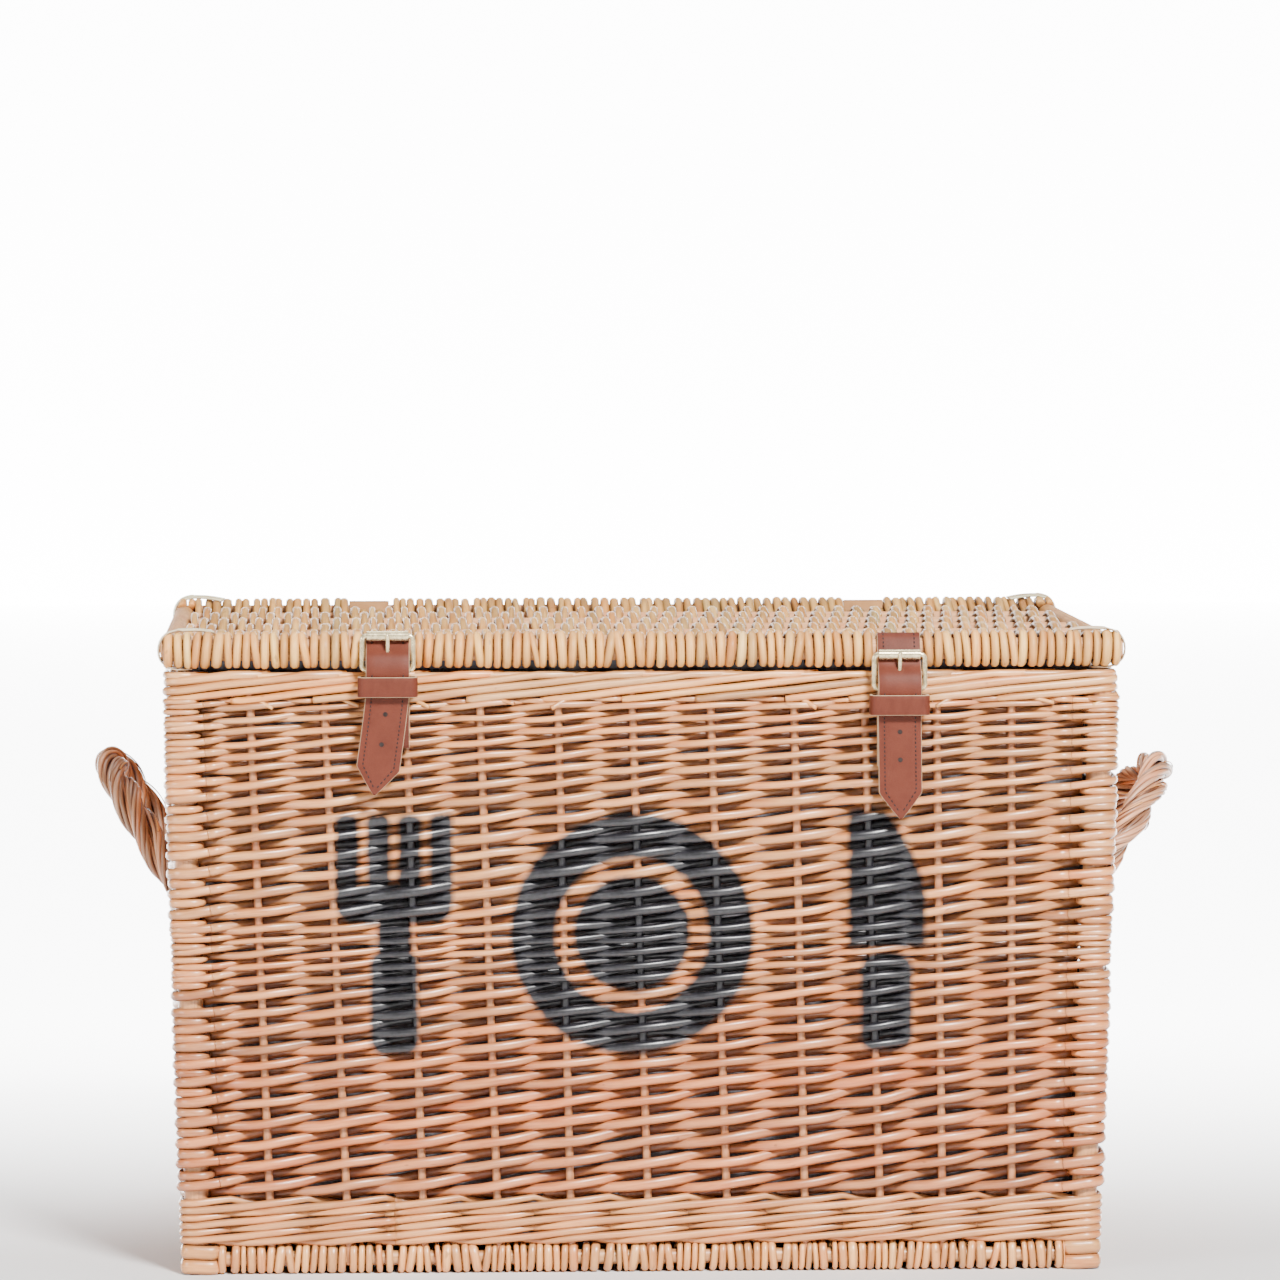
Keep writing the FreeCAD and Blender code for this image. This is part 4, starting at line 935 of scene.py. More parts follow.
def in_hinge(x):
    return any(abs(x - cx) < 13.2 for cx in HINGES.values())


for i, (x, w) in enumerate(pos):
    half_top = 2.1
    ends = abs(x) > 255.0
    front_cut, back_cut = in_slot(x), in_hinge(x)
    lean_f, lean_b = rng.normal(0, 0.7), rng.normal(0, 0.7)
    rf = turn_r + rng.normal(0, 0.18)
    a90 = np.radians(np.linspace(-90, 90, 11))
    parts = []
    # front turn: from underneath, round the front, to the top
    fy = -LID_Y - rf * np.cos(a90)
    fzz = LID_Z + rf * np.sin(a90)
    fx = x + lean_f * np.sin(a90)
    under_y = np.linspace(-164.0, -176.0, 3)
    if not front_cut:
        parts.append(np.stack([np.full(3, x - lean_f), under_y, LID_Z - rf + np.array([1.8, 0.9, 0.2])], 1))
        parts.append(np.stack([fx, fy, fzz], 1))
    if ends:
        if not front_cut:
            parts.append(np.stack([np.full(3, x + lean_f), np.array([-176.0, -170.0, -165.0]), LID_Z + rf - np.array([0.2, 1.0, 2.4])], 1))
            P = np.concatenate(parts)
            N = np.stack([0 * P[:, 0], np.minimum(P[:, 1] + LID_Y, 0), P[:, 2] - LID_Z], 1)
            lid.sweep(P, N, oval(np.full(len(P), w / 2 * 0.92), np.full(len(P), 2.1)), rod_tint(rng, LID_FACE, len(P)), seed=rng.uniform(0, 40))
        parts = []
        if not back_cut:
            parts = [
                np.stack([np.full(3, x), np.array([165.0, 170.0, 176.0]), LID_Z + rf - np.array([2.4, 1.0, 0.2])], 1),
                np.stack([np.full(11, x), LID_Y + rf * np.cos(a90), LID_Z + rf * np.sin(-a90)], 1),
                np.stack([np.full(3, x), np.array([176.0, 170.0, 165.0]), LID_Z - rf + np.array([0.2, 1.0, 2.0])], 1),
            ]
            P = np.concatenate(parts)
            N = np.stack([0 * P[:, 0], np.maximum(P[:, 1] - LID_Y, 0), P[:, 2] - LID_Z], 1)
            lid.sweep(P, N, oval(np.full(len(P), w / 2 * 0.92), np.full(len(P), 2.1)), rod_tint(rng, LID_FACE, len(P)), seed=rng.uniform(0, 40))
        continue
    y0 = -165.5 if front_cut else -176.0
    y1 = 164.0 if back_cut else 176.0
    yy = np.linspace(y0, y1, 62)
    par = i % 2
    sgn = np.array([1.0] + [(-1.0) ** (m + par) for m in range(1, 6)] + [1.0])
    rise = sgn * np.array([rf] + [6.35] * 5 + [rf])
    k = np.clip(((yy + 179.0) // 59.667).astype(int), 0, 5)
    f = np.clip((yy - LY[k]) / 59.667, 0, 1)
    f = (1 - np.cos(math.pi * f)) / 2
    zz = LID_Z + rise[k] * (1 - f) + rise[k + 1] * f
    # a rod that runs over two sticks in a row dips between them
    lin_f = np.clip((yy - LY[k]) / 59.667, 0, 1)
    zz -= np.where(sgn[k] * sgn[k + 1] > 0, sgn[k] * 5.6 * np.sin(math.pi * lin_f) ** 1.3, 0.0)
    if front_cut:
        zz -= 5.0 * np.exp(-(yy - y0) / 5.0)
    if back_cut:
        zz -= 5.0 * np.exp(-(y1 - yy) / 5.0)
    xx = x + smooth_noise(rng, yy, 150.0, 0.45) + (lean_f * (1 - (yy - y0) / (y1 - y0)) + lean_b * (yy - y0) / (y1 - y0))
    parts.append(np.stack([xx, yy, zz], 1))
    if not back_cut:
        parts.append(np.stack([np.full(11, xx[-1]), LID_Y + rf * np.cos(a90), LID_Z + rf * np.sin(-a90)], 1))
        parts.append(np.stack([np.full(3, xx[-1]), np.array([176.0, 170.0, 164.0]), LID_Z - rf + np.array([0.2, 0.9, 1.8])], 1))
    P = np.concatenate(parts)
    keepp = np.concatenate([[True], np.linalg.norm(np.diff(P, axis=0), axis=1) > 0.35])
    P = P[keepp]
    ny = np.where(np.abs(P[:, 1]) > 175, np.clip(np.abs(P[:, 1]) - LID_Y, 0, None) * np.sign(P[:, 1]), 0.0)
    nz = np.where(np.abs(P[:, 1]) > 160, np.where(np.abs(P[:, 1]) > 175, P[:, 2] - LID_Z, np.sign(P[:, 2] - LID_Z) * 8.0), 8.0)
    N = np.stack([0 * ny, ny, nz + 1e-3], 1)
    n = len(P)
    edge = np.clip((np.abs(P[:, 1]) - 150.0) / 25.0, 0, 1)
    b = (w / 2) * (0.95 - 0.03 * edge)
    a = 1.95 + 0.2 * edge
    face = np.clip((np.abs(P[:, 1]) - 172.0) / 9.0, 0, 1)[:, None]
    tint = rod_tint(rng, LID * (1 - face) + LID_FACE * face, n, P[:, 1], spread=0.085, hue=0.05)
    lid.sweep(P, N, oval(b, a), tint, seed=rng.uniform(0, 40))

# a split skein round each lid corner: from the top, round the end, to the underside
sk = Piece("lid_skeins")
for sx in (-1, 1):
    for sy in (-1, 1):
        rng = np.random.default_rng(8800 + sx * 2 + sy)
        back = sy > 0
        pts = [
            (238.0, 169.0, 358.2), (244.0, 171.5, 359.2), (251.0, 175.5, 359.7), (258.0, 179.0, 359.4), (263.5, 181.0, 357.6),
            (266.8, 181.5, 353.6), (267.9, 181.5, 348.4), (266.6, 181.2, 343.0), (262.0, 180.5, 339.2), (256.0, 179.0, 337.8), (250.0, 177.0, 338.0),
        ]  # fmt: skip
        q = catmull([(a, b, c) for a, b, c in pts], 2.0)
        P = q * np.array([sx, sy, 1.0])
        cen = np.array([sx * 250.0, 0.0, 348.5])
        N = P - cen
        N[:, 1] = (-3.5 if back else -2.2)
        N[:, 2] = np.where(np.abs(P[:, 0]) < 262, np.sign(N[:, 2]) * 12.0, N[:, 2])
        N[:, 0] = np.where(np.abs(P[:, 0]) < 258, 0.0, N[:, 0])
        n = len(P)
        for side_off, ww in ((-1.55, 1.5), (1.55, 1.45)):
            T = np.gradient(P, axis=0)
            T /= np.linalg.norm(T, axis=1, keepdims=True)
            Nn = N - (N * T).sum(1, keepdims=True) * T
            Nn /= np.linalg.norm(Nn, axis=1, keepdims=True)
            B = np.cross(T, Nn)
            Q = P + side_off * B
            sk.sweep(Q, N, oval(np.full(n, ww), np.full(n, 0.62)), rod_tint(rng, (246, 222, 182), n, np.arange(n) * 1.0), seed=rng.uniform(0, 40))

# -------------------------------------------------------------- rope handles
ROPES = {}
for label, s in (("left", -1), ("right", 1)):
    rope = Piece(f"rope_{label}")
    ROPES[label] = rope
    tilt = math.radians({"left": 31.5, "right": 37.5}[label])
    c0, R0 = 11.96, 64.04
    a_end = math.asin(62.0 / R0)
    arc = np.linspace(-a_end, a_end, 46)
    v = R0 * np.sin(arc)
    w = c0 + R0 * np.cos(arc)
    v = np.concatenate([[-69.6, -68.6, -66.4], v, [66.4, 68.6, 69.6]])
    w = np.concatenate([[-2.0, 6.0, 16.0], w, [16.0, 6.0, -2.0]])
    px = s * (261.0 + w * math.sin(tilt))
    pz = 208.5 + w * math.cos(tilt)
    C = np.stack([px, v, pz], 1)
    # ends run on into the weave
    head = np.array([[s * 250.5, -68.0, 202.5], [s * 255.0, -69.2, 203.8]])
    tail = np.array([[s * 255.0, 69.2, 203.8], [s * 250.5, 68.0, 202.5]])
    C = np.concatenate([head, C, tail])
    seg = np.concatenate([[0], np.cumsum(np.linalg.norm(np.diff(C, axis=0), axis=1))])
    n = 118
    L = np.linspace(0, seg[-1], n)
    C = np.stack([np.interp(L, seg, C[:, k]) for k in range(3)], 1)
    for _ in range(3):
        C[1:-1] = (C[:-2] + 2 * C[1:-1] + C[2:]) / 4
    T = np.gradient(C, axis=0)
    T /= np.linalg.norm(T, axis=1, keepdims=True)
    plane = np.array([s * math.cos(tilt), 0, -math.sin(tilt)])
    E1 = np.broadcast_to(plane, C.shape) - (T @ plane)[:, None] * T
    E1 /= np.linalg.norm(E1, axis=1, keepdims=True)
    E2 = np.cross(T, E1)
    slim = 1 - 0.22 * np.exp(-(L / 14.0)) - 0.22 * np.exp(-((L[-1] - L) / 14.0))
    for strand in range(3):
        th = 2 * math.pi * (L / 92.0 + strand / 3.0)
        SC = C + (5.0 * slim)[:, None] * (np.cos(th)[:, None] * E1 + np.sin(th)[:, None] * E2)
        srng = np.random.default_rng(9000 + strand + (s > 0) * 10)
        for r in range(7):
            rng = np.random.default_rng(9100 + strand * 10 + r + (s > 0) * 100)
            ph = th * 1.35 + 2 * math.pi * r / 7 + smooth_noise(rng, L, 70.0, 0.25)
            off = 3.15 * slim * (1 + smooth_noise(rng, L, 45.0, 0.13))
            P = SC + off[:, None] * (np.cos(ph)[:, None] * E1 + np.sin(ph)[:, None] * E2)
            N = np.cos(ph)[:, None] * E1 + np.sin(ph)[:, None] * E2
            b = 1.62 * slim * (1 + smooth_noise(rng, L, 60.0, 0.14)) * rng.uniform(0.85, 1.12)
            tint = rod_tint(rng, ROPE, n, L, spread=0.12, hue=0.06, wander=0.10)
            rope.sweep(P, N, oval(b, b * 0.9, ring=RING6), tint, seed=rng.uniform(0, 40))
        # a few split fibres that lie along the strands
        for r in range(3):
            rng = np.random.default_rng(9400 + strand * 10 + r + (s > 0) * 100)
            i0 = int(rng.integers(6, 80))
            i1 = i0 + int(rng.integers(14, 26))
            ph = th[i0:i1] * 1.0 + rng.uniform(0, 6.28)
            lift = 4.75 + 0.9 * np.sin(np.linspace(0, math.pi, i1 - i0))
            P = SC[i0:i1] + (lift * slim[i0:i1])[:, None] * (np.cos(ph)[:, None] * E1[i0:i1] + np.sin(ph)[:, None] * E2[i0:i1])
            N = np.cos(ph)[:, None] * E1[i0:i1] + np.sin(ph)[:, None] * E2[i0:i1]
            m = i1 - i0
            rope.sweep(P, N, oval(np.full(m, 0.75), np.full(m, 0.3), ring=RING6), rod_tint(rng, PALE, m), seed=rng.uniform(0, 40))

# -------------------------------------------------------------------- straps
TAN = np.array([97, 46, 32.0])
NATURAL = np.array([176, 126, 78.0])  # undyed leather of the hinge loops
EDGE = np.array([214, 186, 150.0])


def strip_profile(half, thick, n):
    """A strap's section with rounded edges: tan faces, raw cream sides. Returns (n, k, 2) and the side mask."""
    half = np.broadcast_to(np.atleast_1d(np.asarray(half, float)), (n,))
    t = thick / 2
    r = 0.45
    xs = np.array([-1, -0.55, 0, 0.55, 1])
    top = [("f", x, t) for x in xs[::-1]]
    pts, side = [], []
    for x in xs[::-1]:
        pts.append((x, 0.0 if abs(x) < 1 else -np.sign(x) * r, t))
        side.append(0)
    for s in (-1,):
        pts += [(s, -s * 0.12, t - 0.14), (s, 0.0, t - r), (s, 0.0, -(t - r)), (s, -s * 0.12, -(t - 0.14))]
        side += [0.6, 1, 1, 0.6]
    for x in xs:
        pts.append((x, 0.0 if abs(x) < 1 else -np.sign(x) * r, -t))
        side.append(0)
    for s in (1,):
        pts += [(s, -s * 0.12, -(t - 0.14)), (s, 0.0, -(t - r)), (s, 0.0, t - r), (s, -s * 0.12, t - 0.14)]
        side += [0.6, 1, 1, 0.6]
    pts = np.array(pts)
    prof = np.empty((n, len(pts), 2))
    prof[:, :, 0] = pts[None, :, 0] * half[:, None] + pts[None, :, 1] * np.minimum(1, half / 2)[:, None]
    prof[:, :, 1] = pts[None, :, 2]
    return prof, np.array(side)


def strip_tint(side, n, rng, face=TAN, worn=None):
    c = np.empty((n, len(side), 3))
    f, e = lin(face), lin(EDGE)
    c[:] = f[None, None] * (1 - side[None, :, None]) + e[None, None] * side[None, :, None]
    return c


def strip(piece, P, N, half, thick, rng, closed=False, face=TAN, mat=0):
    n = len(P)
    prof, side = strip_profile(half, thick, n)
    piece.sweep(P, N, prof, strip_tint(side, n, rng, face), mat=mat, closed=closed, seed=rng.uniform(0, 40))


def frame_yz(P):
    """Unit tangent along a path; callers take the normal in the y-z plane from it."""
    T = np.gradient(P, axis=0)
    T /= np.linalg.norm(T, axis=1, keepdims=True)
    return T


def stitches(piece, P, N, across, start, stop, gap=2.3, long=1.25):
    """Thread stitches on the face of a strip, at `across` mm to the side."""
    T = frame_yz(P)
    Nn = N - (N * T).sum(1, keepdims=True) * T
    Nn /= np.linalg.norm(Nn, axis=1, keepdims=True)
    B = np.cross(T, Nn)
    L = np.concatenate([[0], np.cumsum(np.linalg.norm(np.diff(P, axis=0), axis=1))])
    s = start
    k = 0
    while s + long < stop:
        l = np.linspace(s, s + long, 5)
        lift = np.array([-0.25, 0.02, 0.08, 0.02, -0.25])
        ax = across(l) if callable(across) else np.full(5, across)
        Q = np.stack([np.interp(l, L, P[:, c]) for c in range(3)], 1)
        n = np.stack([np.interp(l, L, Nn[:, c]) for c in range(3)], 1)
        b = np.stack([np.interp(l, L, B[:, c]) for c in range(3)], 1)
        Q = Q + ax[:, None] * b + (1.2 + lift)[:, None] * n
        piece.sweep(Q, n, oval(np.full(5, 0.40), np.full(5, 0.30), ring=RING6), np.full((5, 3), 0.02), mat=1)
        s += gap
        k += 1


LEATHER = {}
for label, (cx, bar) in STRAPS.items():
    pc = Piece(f"closing_strap_leather_{label}")
    LEATHER[f"strap_{label}"] = pc
    rng = np.random.default_rng(9500 + (cx > 0))
    tip = {"left": 269.3, "right": 254.9}[label]
    ring = [(-LID_Y + 7.5 * math.cos(math.radians(t)), LID_Z + 7.5 * math.sin(math.radians(t))) for t in (-112, -75, -38, 0, 32, 62)]
    ring.append((-LID_Y - 0.1, LID_Z + 7.6))
    if label == "left":
        headrun = [(-182.5, 356.9), (-187.5, 357.0), (-188.5, 353.0), (-191.8, 348.9)]
    else:
        headrun = [(-183.2, 355.5), (-187.55, 346.6), (-190.6, 339.6)]
    run = ring + headrun + [(-195.4, bar + 7), (-197.1, bar + 0.5), (-196.2, bar - 6), (-194.3, bar - 13), (-193.6, bar - 22), (-193.5, bar - 34), (-193.1, (bar - 34 + tip) / 2), (-192.7, tip)]
    yz = catmull(run, 1.3)
    n = len(yz)
    lean = -7.6 if label == "left" else 0.8
    below = np.clip((bar - 12 - yz[:, 1]) / (bar - 12 - tip), 0, 1)
    onfront = np.arange(n) > n * 0.3
    xs = cx + lean * below**1.15 * onfront
    # the tail lifts a little off the weave near its end
    yv = yz[:, 0] - 1.3 * (below * onfront) ** 2
    P = np.stack([xs, yv, yz[:, 1]], 1)
    T = frame_yz(P)
    N = np.stack([0 * T[:, 0], T[:, 2], -T[:, 1]], 1)  # outward from the body on the hanging run
    half = np.full(n, 12.0)
    z = yz[:, 1]
    taper = np.clip((z - tip) / 14.5, 0, 1)
    half = np.where(onfront, np.minimum(half, 0.7 + 11.3 * taper**0.92), half)
    strip(pc, P, N, half, 2.4, rng)
    L = np.concatenate([[0], np.cumsum(np.linalg.norm(np.diff(P, axis=0), axis=1))])
    tipL = L[-1]
    firstL = np.interp(bar - 8, [0, 1], [0, 1])
    i_low = int(np.argmax((z < bar - 2) & onfront))
    for sgn in (-1, 1):
        stitches(pc, P, N, lambda l, s=sgn: s * np.where(l > tipL - 15.5, np.maximum(8.6 * (tipL - 2.6 - l) / 12.9, 0.4), 8.6), L[i_low], tipL - 4.0)
        stitches(pc, P, N, sgn * 8.6, L[len(catmull(ring, 1.3))] + 2, L[len(catmull(ring, 1.3))] + 14.5)
    # punched holes: a pressed rim round a near-black disc on the face, painted shade standing in for the hole
    for hz in {"left": (313.8, 297.1), "right": (303.2, 287.7)}[label]:
        i = int(np.argmin(np.abs(z - hz) + 1000 * (~onfront)))
        th = np.linspace(0, 2 * math.pi, 25)[:-1]
        yface = P[i, 1] - 1.2
        xc = P[i, 0]
        circ = np.stack([xc + 1.3 * np.cos(th), np.full(24, yface + 0.02), hz + 1.3 * np.sin(th)], 1)
        pc.sweep(circ, np.array([0, -1.0, 0]), oval(np.full(24, 0.22), np.full(24, 0.16), ring=RING6), np.full((24, 3), lin(TAN * 0.8)), closed=True)
        disc = np.concatenate([[[xc, yface - 0.14, hz]], np.stack([xc + 1.2 * np.cos(th), np.full(24, yface - 0.14), hz + 1.2 * np.sin(th)], 1)])
        tri = np.array([[0, 1 + k, 1 + (k + 1) % 24] for k in range(24)])
        pc.patch(disc, tri, (0.02, 0.01, 0.01), mat=2, uv=disc[:, [0, 2]], smooth=False)

    # chape, folded round the hinge bar
    ch = Piece(f"chape_leather_{label}")
    LEATHER[f"chape_{label}"] = ch
    dark = TAN * 0.94
    front = np.array([(-190.0, bar - 43.0), (-190.0, bar - 30), (-190.1, bar - 20), (-190.4, bar - 13), (-191.6, bar - 8.5), (-193.0, bar - 4.2)])
    backl = np.array([(-188.0, bar - 4.6), (-188.0, bar - 8), (-188.0, bar - 20), (-188.0, bar - 43.0)])
    for path, sg in ((front, 1), (backl, -1)):
        q = catmull(path, 2.0)
        P = np.stack([np.full(len(q), cx), q[:, 0], q[:, 1]], 1)
        T = frame_yz(P)
        N = np.stack([0 * T[:, 0], -T[:, 2], T[:, 1]], 1)
        strip(ch, P, N, 12.0, 1.9, rng, face=dark)
    loop = [(-192.6, bar - 5.2), (-194.0, bar - 2.4), (-194.7, bar)] + [(-192 - 2.65 * math.cos(math.radians(t)), bar + 2.65 * math.sin(math.radians(t))) for t in (25, 50, 75, 90, 105, 130, 155)] + [(-189.35, bar), (-188.6, bar - 2.4), (-188.1, bar - 5.2)]
    q = catmull(loop, 1.0)
    for x0 in (-7.25, 7.25):
        P = np.stack([np.full(len(q), cx + x0), q[:, 0], q[:, 1]], 1)
        T = frame_yz(P)
        N = np.stack([0 * T[:, 0], -T[:, 2], T[:, 1]], 1)
        strip(ch, P, N, 4.75, 1.7, rng, face=dark)

    # keeper band
    kp = Piece(f"keeper_leather_{label}")
    LEATHER[f"keeper_{label}"] = kp
    zc = {"left": 328.9, "right": 318.2}[label]
    hw, yf, yb, rr = 15.7, -199.4, -186.2, 3.4
    path, nn = [], []
    for ccx, ccy, a0 in ((hw - rr, yf + rr, -90), (hw - rr, yb - rr, 0), (-hw + rr, yb - rr, 90), (-hw + rr, yf + rr, 180)):
        for t in np.radians(np.linspace(a0, a0 + 90, 8)):
            path.append((cx + ccx + rr * math.cos(t), ccy + rr * math.sin(t), zc))
            nn.append((math.cos(t), math.sin(t), 0))
    P, N = np.array(path), np.array(nn)
    bow = np.where(P[:, 1] < yf + 1.0, 0.35, 0.0)
    strip(kp, P, N, 5.6, 1.7, rng, closed=True, face=TAN * 0.985)

for label, cx in HINGES.items():
    hl = Piece(f"hinge_leather_{label}")
    LEATHER[f"hinge_loop_{label}"] = hl
    rng = np.random.default_rng(9700 + (cx > 0))
    r, zb, rr = 7.3, 319.6, 2.6
    path, nn = [], []
    for t in np.radians(np.linspace(0, 180, 19)):
        path.append((cx, LID_Y + r * math.cos(t), LID_Z + r * math.sin(t)))
        nn.append((0, math.cos(t), math.sin(t)))
    for zz in (342.0, 336.0, 330.0, 325.0):
        path.append((cx, LID_Y - r, zz))
        nn.append((0, -1, 0))
    for t in np.radians(np.linspace(180, 270, 6)):
        path.append((cx, LID_Y - r + rr + rr * math.cos(t), zb + rr + rr * math.sin(t)))
        nn.append((0, math.cos(t), math.sin(t)))
    for t in np.radians(np.linspace(270, 360, 6)):
        path.append((cx, LID_Y + r - rr + rr * math.cos(t), zb + rr + rr * math.sin(t)))
        nn.append((0, math.cos(t), math.sin(t)))
    for zz in (325.0, 330.0, 336.0, 342.0):
        path.append((cx, LID_Y + r, zz))
        nn.append((0, 1, 0))
    P, N = np.array(path), np.array(nn)
    strip(hl, P, N, 12.0, 2.3, rng, closed=True, face=NATURAL)
    # stitching across and down the outside
    out = np.array([(cx, LID_Y + r, zz) for zz in np.linspace(342.0, 323.0, 20)])
    for sgn in (-1, 1):
        stitches(hl, out, np.broadcast_to(np.array([0, 1.0, 0]), out.shape), sgn * 9.2, 0.5, 18.5)
    row = np.array([(cx + xx, LID_Y + r, 331.0) for xx in np.linspace(-10, 10, 20)])
    stitches(hl, row, np.broadcast_to(np.array([0, 1.0, 0]), row.shape), 0.0, 0.8, 19.5)

# --------------------------------------------------------------- cloth lining
cl = Piece("lining_cloth")


def lining_points():
    """A five-sided bag: rings of points round the inside, from the hem down, then the floor."""
    heights = np.array([337.2, 336.8, 335.4, 332.0, 325.0, 312.0, 296, 278, 260, 242, 224, 206, 188, 170, 152, 134, 116, 98, 80, 62, 46, 34, 26, 21.0, 18.6])
    m = 232
    rings = []
    for h in heights:
        a = np.linspace(0, 1, m, endpoint=False)
        zc = min(h, 336.0)
        lx, ly = hx(zc) - 15.9, hy(zc) - 15.9
        rc = 7.0
        lens = [2 * (lx - rc), rc * math.pi / 2, 2 * (ly - rc), rc * math.pi / 2] * 2
        tot = sum(lens)
        pos = a * tot
        x, y, nx, ny = (np.zeros(m) for _ in range(4))
        acc = 0.0
        spec = [("l", 0, -1, 1, 0), ("c", 1, -1, -90), ("l", 1, 0, 0, 1), ("c", 1, 1, 0), ("l", 0, 1, -1, 0), ("c", -1, 1, 90), ("l", -1, 0, 0, -1), ("c", -1, -1, 180)]
        for L, sp in zip(lens, spec):
            k = (pos >= acc - 1e-9) & (pos < acc + L - 1e-9)
            s = pos[k] - acc
            if sp[0] == "l":
                wx, wy, tx, ty = sp[1:]
                half = L / 2
                x[k] = wx * lx + tx * (s - half)
                y[k] = wy * ly + ty * (s - half)
                nx[k], ny[k] = wx, wy
            else:
                sx, sy, a0 = sp[1:]
                t = np.radians(a0) + s / rc
                x[k] = sx * (lx - rc) + rc * np.cos(t)
                y[k] = sy * (ly - rc) + rc * np.sin(t)
                nx[k], ny[k] = np.cos(t), np.sin(t)
            acc += L
        # puckers: shallow folds that run down from the hem, and sag near the floor
        fold = 0.9 * np.sin(a * 2 * math.pi * 23 + 1.3 * math.sin(h / 40)) * (0.35 + 0.65 * math.exp(-(337 - h) / 60.0))
        fold += 0.7 * np.sin(a * 2 * math.pi * 9 + h / 55.0)
        d = -1.1 + fold * 0.55 - 0.8
        if h > 334.5:
            d = d * 0.5 - 0.2
        zz = np.full(m, float(h))
        if h > 336.0:
            # the hem peeps out between lid and border in two places at the front
            for x0, x1 in ((-58, -27), (53, 84)):
                k = (ny < -0.9)
                w = np.exp(-(((x - (x0 + x1) / 2) / ((x1 - x0) / 2.0)) ** 4)) * k
                reach = 15.6 if h > 337.0 else 9.0
                d = d + w * reach
                zz = zz + w * (0.15 if h > 337.0 else 0.1) * np.sin(x / 3.0)
        rings.append(np.stack([x + nx * d, y + ny * d, zz], 1))
    return heights, np.array(rings), m


H, RG, m = lining_points()
nr = len(RG)
V = RG.reshape(-1, 3)
i, j = np.meshgrid(np.arange(nr - 1), np.arange(m), indexing="ij")
jn = (j + 1) % m
quads = np.stack([i * m + j, i * m + jn, (i + 1) * m + jn, (i + 1) * m + j], -1).reshape(-1, 4)
# the floor of the bag: rings that shrink to the middle
last = RG[-1]
extra = []
for f in (0.94, 0.85, 0.74, 0.62, 0.5, 0.38, 0.26, 0.14, 0.05):
    q = last * np.array([f, f, 1.0])
    q[:, 2] = 18.4 + 0.35 * np.sin(last[:, 0] * f / 17.0) * np.sin(last[:, 1] * f / 23.0)
    extra.append(q)
V = np.concatenate([V] + extra)
for e in range(len(extra)):
    a0 = (nr - 1 + e) * m
    b0 = a0 + m
    jj = np.arange(m)
    quads = np.concatenate([quads, np.stack([a0 + jj, a0 + (jj + 1) % m, b0 + (jj + 1) % m, b0 + jj], -1)])
centre = len(V)
V = np.concatenate([V, [[0, 0, 18.4]]])
a0 = (nr - 1 + len(extra)) * m
R = V.copy()
per = np.concatenate([np.arange(m)] * (nr + len(extra))) * 7.0
drop = np.repeat(np.concatenate([H, 18.0 - 20.0 * np.arange(1, len(extra) + 1)]), m)
R = np.stack([np.concatenate([per, [0]]), np.concatenate([drop, [-200.0]]), 0 * V[:, 2]], 1)
floor_uv = np.concatenate([np.stack([per, 340 - drop], 1), [[800.0, 560.0]]])


def cloth_build():
    me = bpy.data.meshes.new("lining_cloth")
    faces = quads.tolist() + [[a0 + k, a0 + (k + 1) % m, centre] for k in range(m)]
    me.from_pydata((V * MM).tolist(), [], faces)
    me.polygons.foreach_set("use_smooth", np.ones(len(faces), bool))
    a = me.attributes.new("rodco", "FLOAT_VECTOR", "POINT")
    wall = np.arange(len(V)) < nr * m
    RR = np.where(wall[:, None], R, V) * MM
    a.data.foreach_set("vector", RR.astype(np.float32).ravel())
    # bake layer: the walls as one strip, the floor flat beside it
    layer = me.uv_layers.new(name="OFBake")
    loops = np.empty(len(me.loops), np.int32)
    me.loops.foreach_get("vertex_index", loops)
    uv = np.empty((len(loops), 2))
    starts = np.array([p.loop_start for p in me.polygons])
    is_wall = np.repeat(np.arange(len(faces)) < (nr - 1) * m, [len(f) for f in faces])
    pm = per[0:m].max() + 7.0
    u = np.concatenate([per, [0.0]])[loops]
    # the seam's last column runs to the strip's end instead of back to its start
    face_of = np.repeat(np.arange(len(faces)), [len(f) for f in faces])
    lastcol = (face_of % m == m - 1) & is_wall
    u = np.where(lastcol & (u < 1.0), pm, u)
    uv[:, 0] = u / pm
    uv[:, 1] = 0.45 * (np.concatenate([drop, [0]])[loops] - 15) / 325.0
    fl = ~is_wall
    uv[fl, 0] = (V[loops[fl], 0] + 260) / 530.0 * 0.98
    uv[fl, 1] = 0.47 + (V[loops[fl], 1] + 180) / 370.0 * 0.5
    layer.data.foreach_set("uv", uv.astype(np.float32).ravel())
    me.materials.append(M_CLOTH)
    me.update()
    ob = bpy.data.objects.new("lining_cloth", me)
    bpy.context.scene.collection.objects.link(ob)
    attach(ob, "basket")
    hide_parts("cloth_lining")
    return ob


cloth_build()

# ------------------------------------------------------------- hand over all
for side in WALLS:
    PIECES[side].build([M_SIDE], "basket", [f"{side}_weave"], "willow")
for label in CORNER_DIRS:
    PIECES[label].build([M_SIDE], "basket", [f"corner_wrap_{label}"], "willow")
wal.build([M_PALE], "basket", ["waling_band"], "willow_pale")
bor.build([M_PALE], "basket", ["top_border"], "willow_pale")
foot.build([M_PALE], "basket", ["foot_border"], "willow_pale")
base.build([M_PALE], "basket", ["base_weave"], "willow_pale")
lid.build([M_LID], "lid", ["lid_weave"], "willow_lid")
sk.build([M_PALE], "lid", ["lid_corner_skeins"], "willow_pale")
for label, rope in ROPES.items():
    rope.build([M_ROPE], f"handle_{label}", [f"rope_handle_{label}"], "willow_rope")
for name, pc in LEATHER.items():
    body = {"strap": "closing_strap_" + name.split("_")[-1], "chape": "basket", "keeper": "basket", "hinge": "basket"}[name.split("_")[0]]
    pc.build([M_LEATHER, M_THREAD, M_HOLE_SHADE], body, [name], "leather")


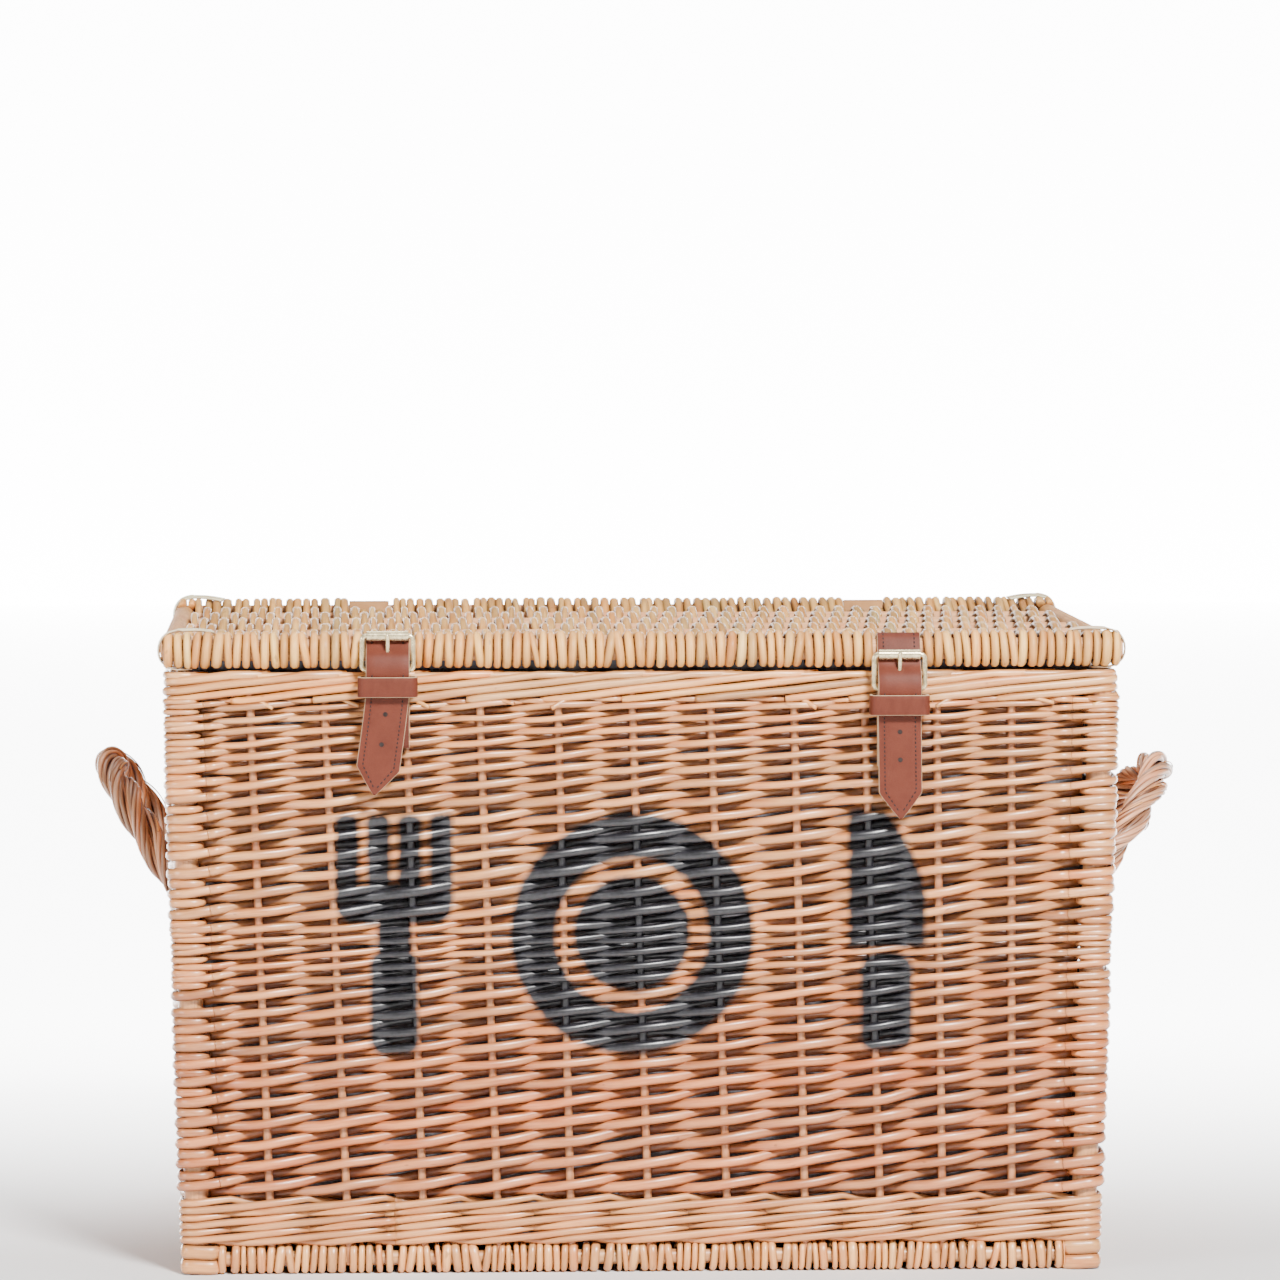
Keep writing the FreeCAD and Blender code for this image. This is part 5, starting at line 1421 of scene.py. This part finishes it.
def dress(names, mat):
    for n in names:
        ob = NODES[n]
        ob.data.materials.clear()
        ob.data.materials.append(mat)


dress(["front_stakes"], M_STAKE_FRONT)
dress(["back_stakes", "left_stakes", "right_stakes"], M_STAKE_Z)
dress([f"corner_post_{k}" for k in CORNER_DIRS], M_POST)
dress(["lid_front_stick", "lid_back_stick", "lid_inner_sticks", "base_sticks"], M_STICK_X)
dress(["lid_end_sticks"], M_STICK_Y)
dress([n for n in NODES if n.startswith(("buckle_", "chape_rivet_"))], M_BRASS)

# --------------------------------------------------------------- the studio
def area(name, loc, target, size, power, color=(1, 1, 1)):
    l = bpy.data.lights.new(name, "AREA")
    l.shape = "RECTANGLE"
    l.size, l.size_y = size
    l.energy = power
    l.color = color
    ob = bpy.data.objects.new(name, l)
    bpy.context.scene.collection.objects.link(ob)
    ob.location = loc
    d = np.array(target, float) - np.array(loc, float)
    from mathutils import Vector

    ob.rotation_euler = Vector(d).to_track_quat("-Z", "Y").to_euler()
    return ob


area("key", (0.9, -2.6, 2.3), (0, 0, 0.2), (0.7, 0.5), 300, (1.0, 0.985, 0.965))
area("fill", (-2.4, -1.6, 1.0), (0, 0, 0.2), (1.0, 1.0), 52, (1.0, 0.99, 0.98))
area("top", (-0.2, 0.7, 2.4), (0, 0, 0.3), (1.6, 1.0), 30)

world = bpy.data.worlds.new("studio")
world.use_nodes = True
world.node_tree.nodes["Background"].inputs[0].default_value = (0.93, 0.945, 0.96, 1)
world.node_tree.nodes["Background"].inputs[1].default_value = 0.06
bpy.context.scene.world = world

bpy.ops.mesh.primitive_plane_add(size=14.0, location=(0, 0, 0))
floor = bpy.context.object
floor.name = "studio_floor"
fm, fnt, fp = new_mat("floor_paper")
fp.inputs["Base Color"].default_value = (*lin((234, 234, 234)), 1)
fp.inputs["Roughness"].default_value = 0.9
# the paper glows behind the basket, so the ground fades to white
geo = fnt.nodes.new("ShaderNodeTexCoord")
sep = fnt.nodes.new("ShaderNodeSeparateXYZ")
fnt.links.new(geo.outputs["Object"], sep.inputs[0])
glow = fnt.nodes.new("ShaderNodeMapRange")
glow.interpolation_type = "SMOOTHSTEP"
glow.inputs["From Min"].default_value = -0.15
glow.inputs["From Max"].default_value = 1.1
glow.inputs["To Min"].default_value = 0.0
glow.inputs["To Max"].default_value = 9.0
fnt.links.new(sep.outputs["Y"], glow.inputs["Value"])
fp.inputs["Emission Color"].default_value = (1, 1, 1, 1)
fnt.links.new(glow.outputs[0], fp.inputs["Emission Strength"])
floor.data.materials.append(fm)
bpy.ops.mesh.primitive_plane_add(size=1.0, location=(0, 6.9, 0.8), rotation=(math.radians(90), 0, 0))
back = bpy.context.object
back.name = "studio_backdrop"
back.scale = (14.0, 1.7, 1.0)
bm, bnt, bp = new_mat("backdrop_paper")
bp.inputs["Base Color"].default_value = (*lin((245, 245, 245)), 1)
bp.inputs["Emission Color"].default_value = (1, 1, 1, 1)
bp.inputs["Emission Strength"].default_value = 9.0
back.data.materials.append(bm)

cam = bpy.data.cameras.new("camera")
cam.sensor_width = 36.0
cam.lens = 6719.2 / 1280 * 36.0
co = bpy.data.objects.new("camera", cam)
bpy.context.scene.collection.objects.link(co)
co.location = (-0.16795, -3.89155, 0.56999)
co.rotation_euler = (math.radians(90 - 3.3326), 0, -math.radians(2.5652))
cam.clip_end = 50
bpy.context.scene.camera = co

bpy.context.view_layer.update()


def flat(b):
    return [[float(v) for v in p] for p in b]
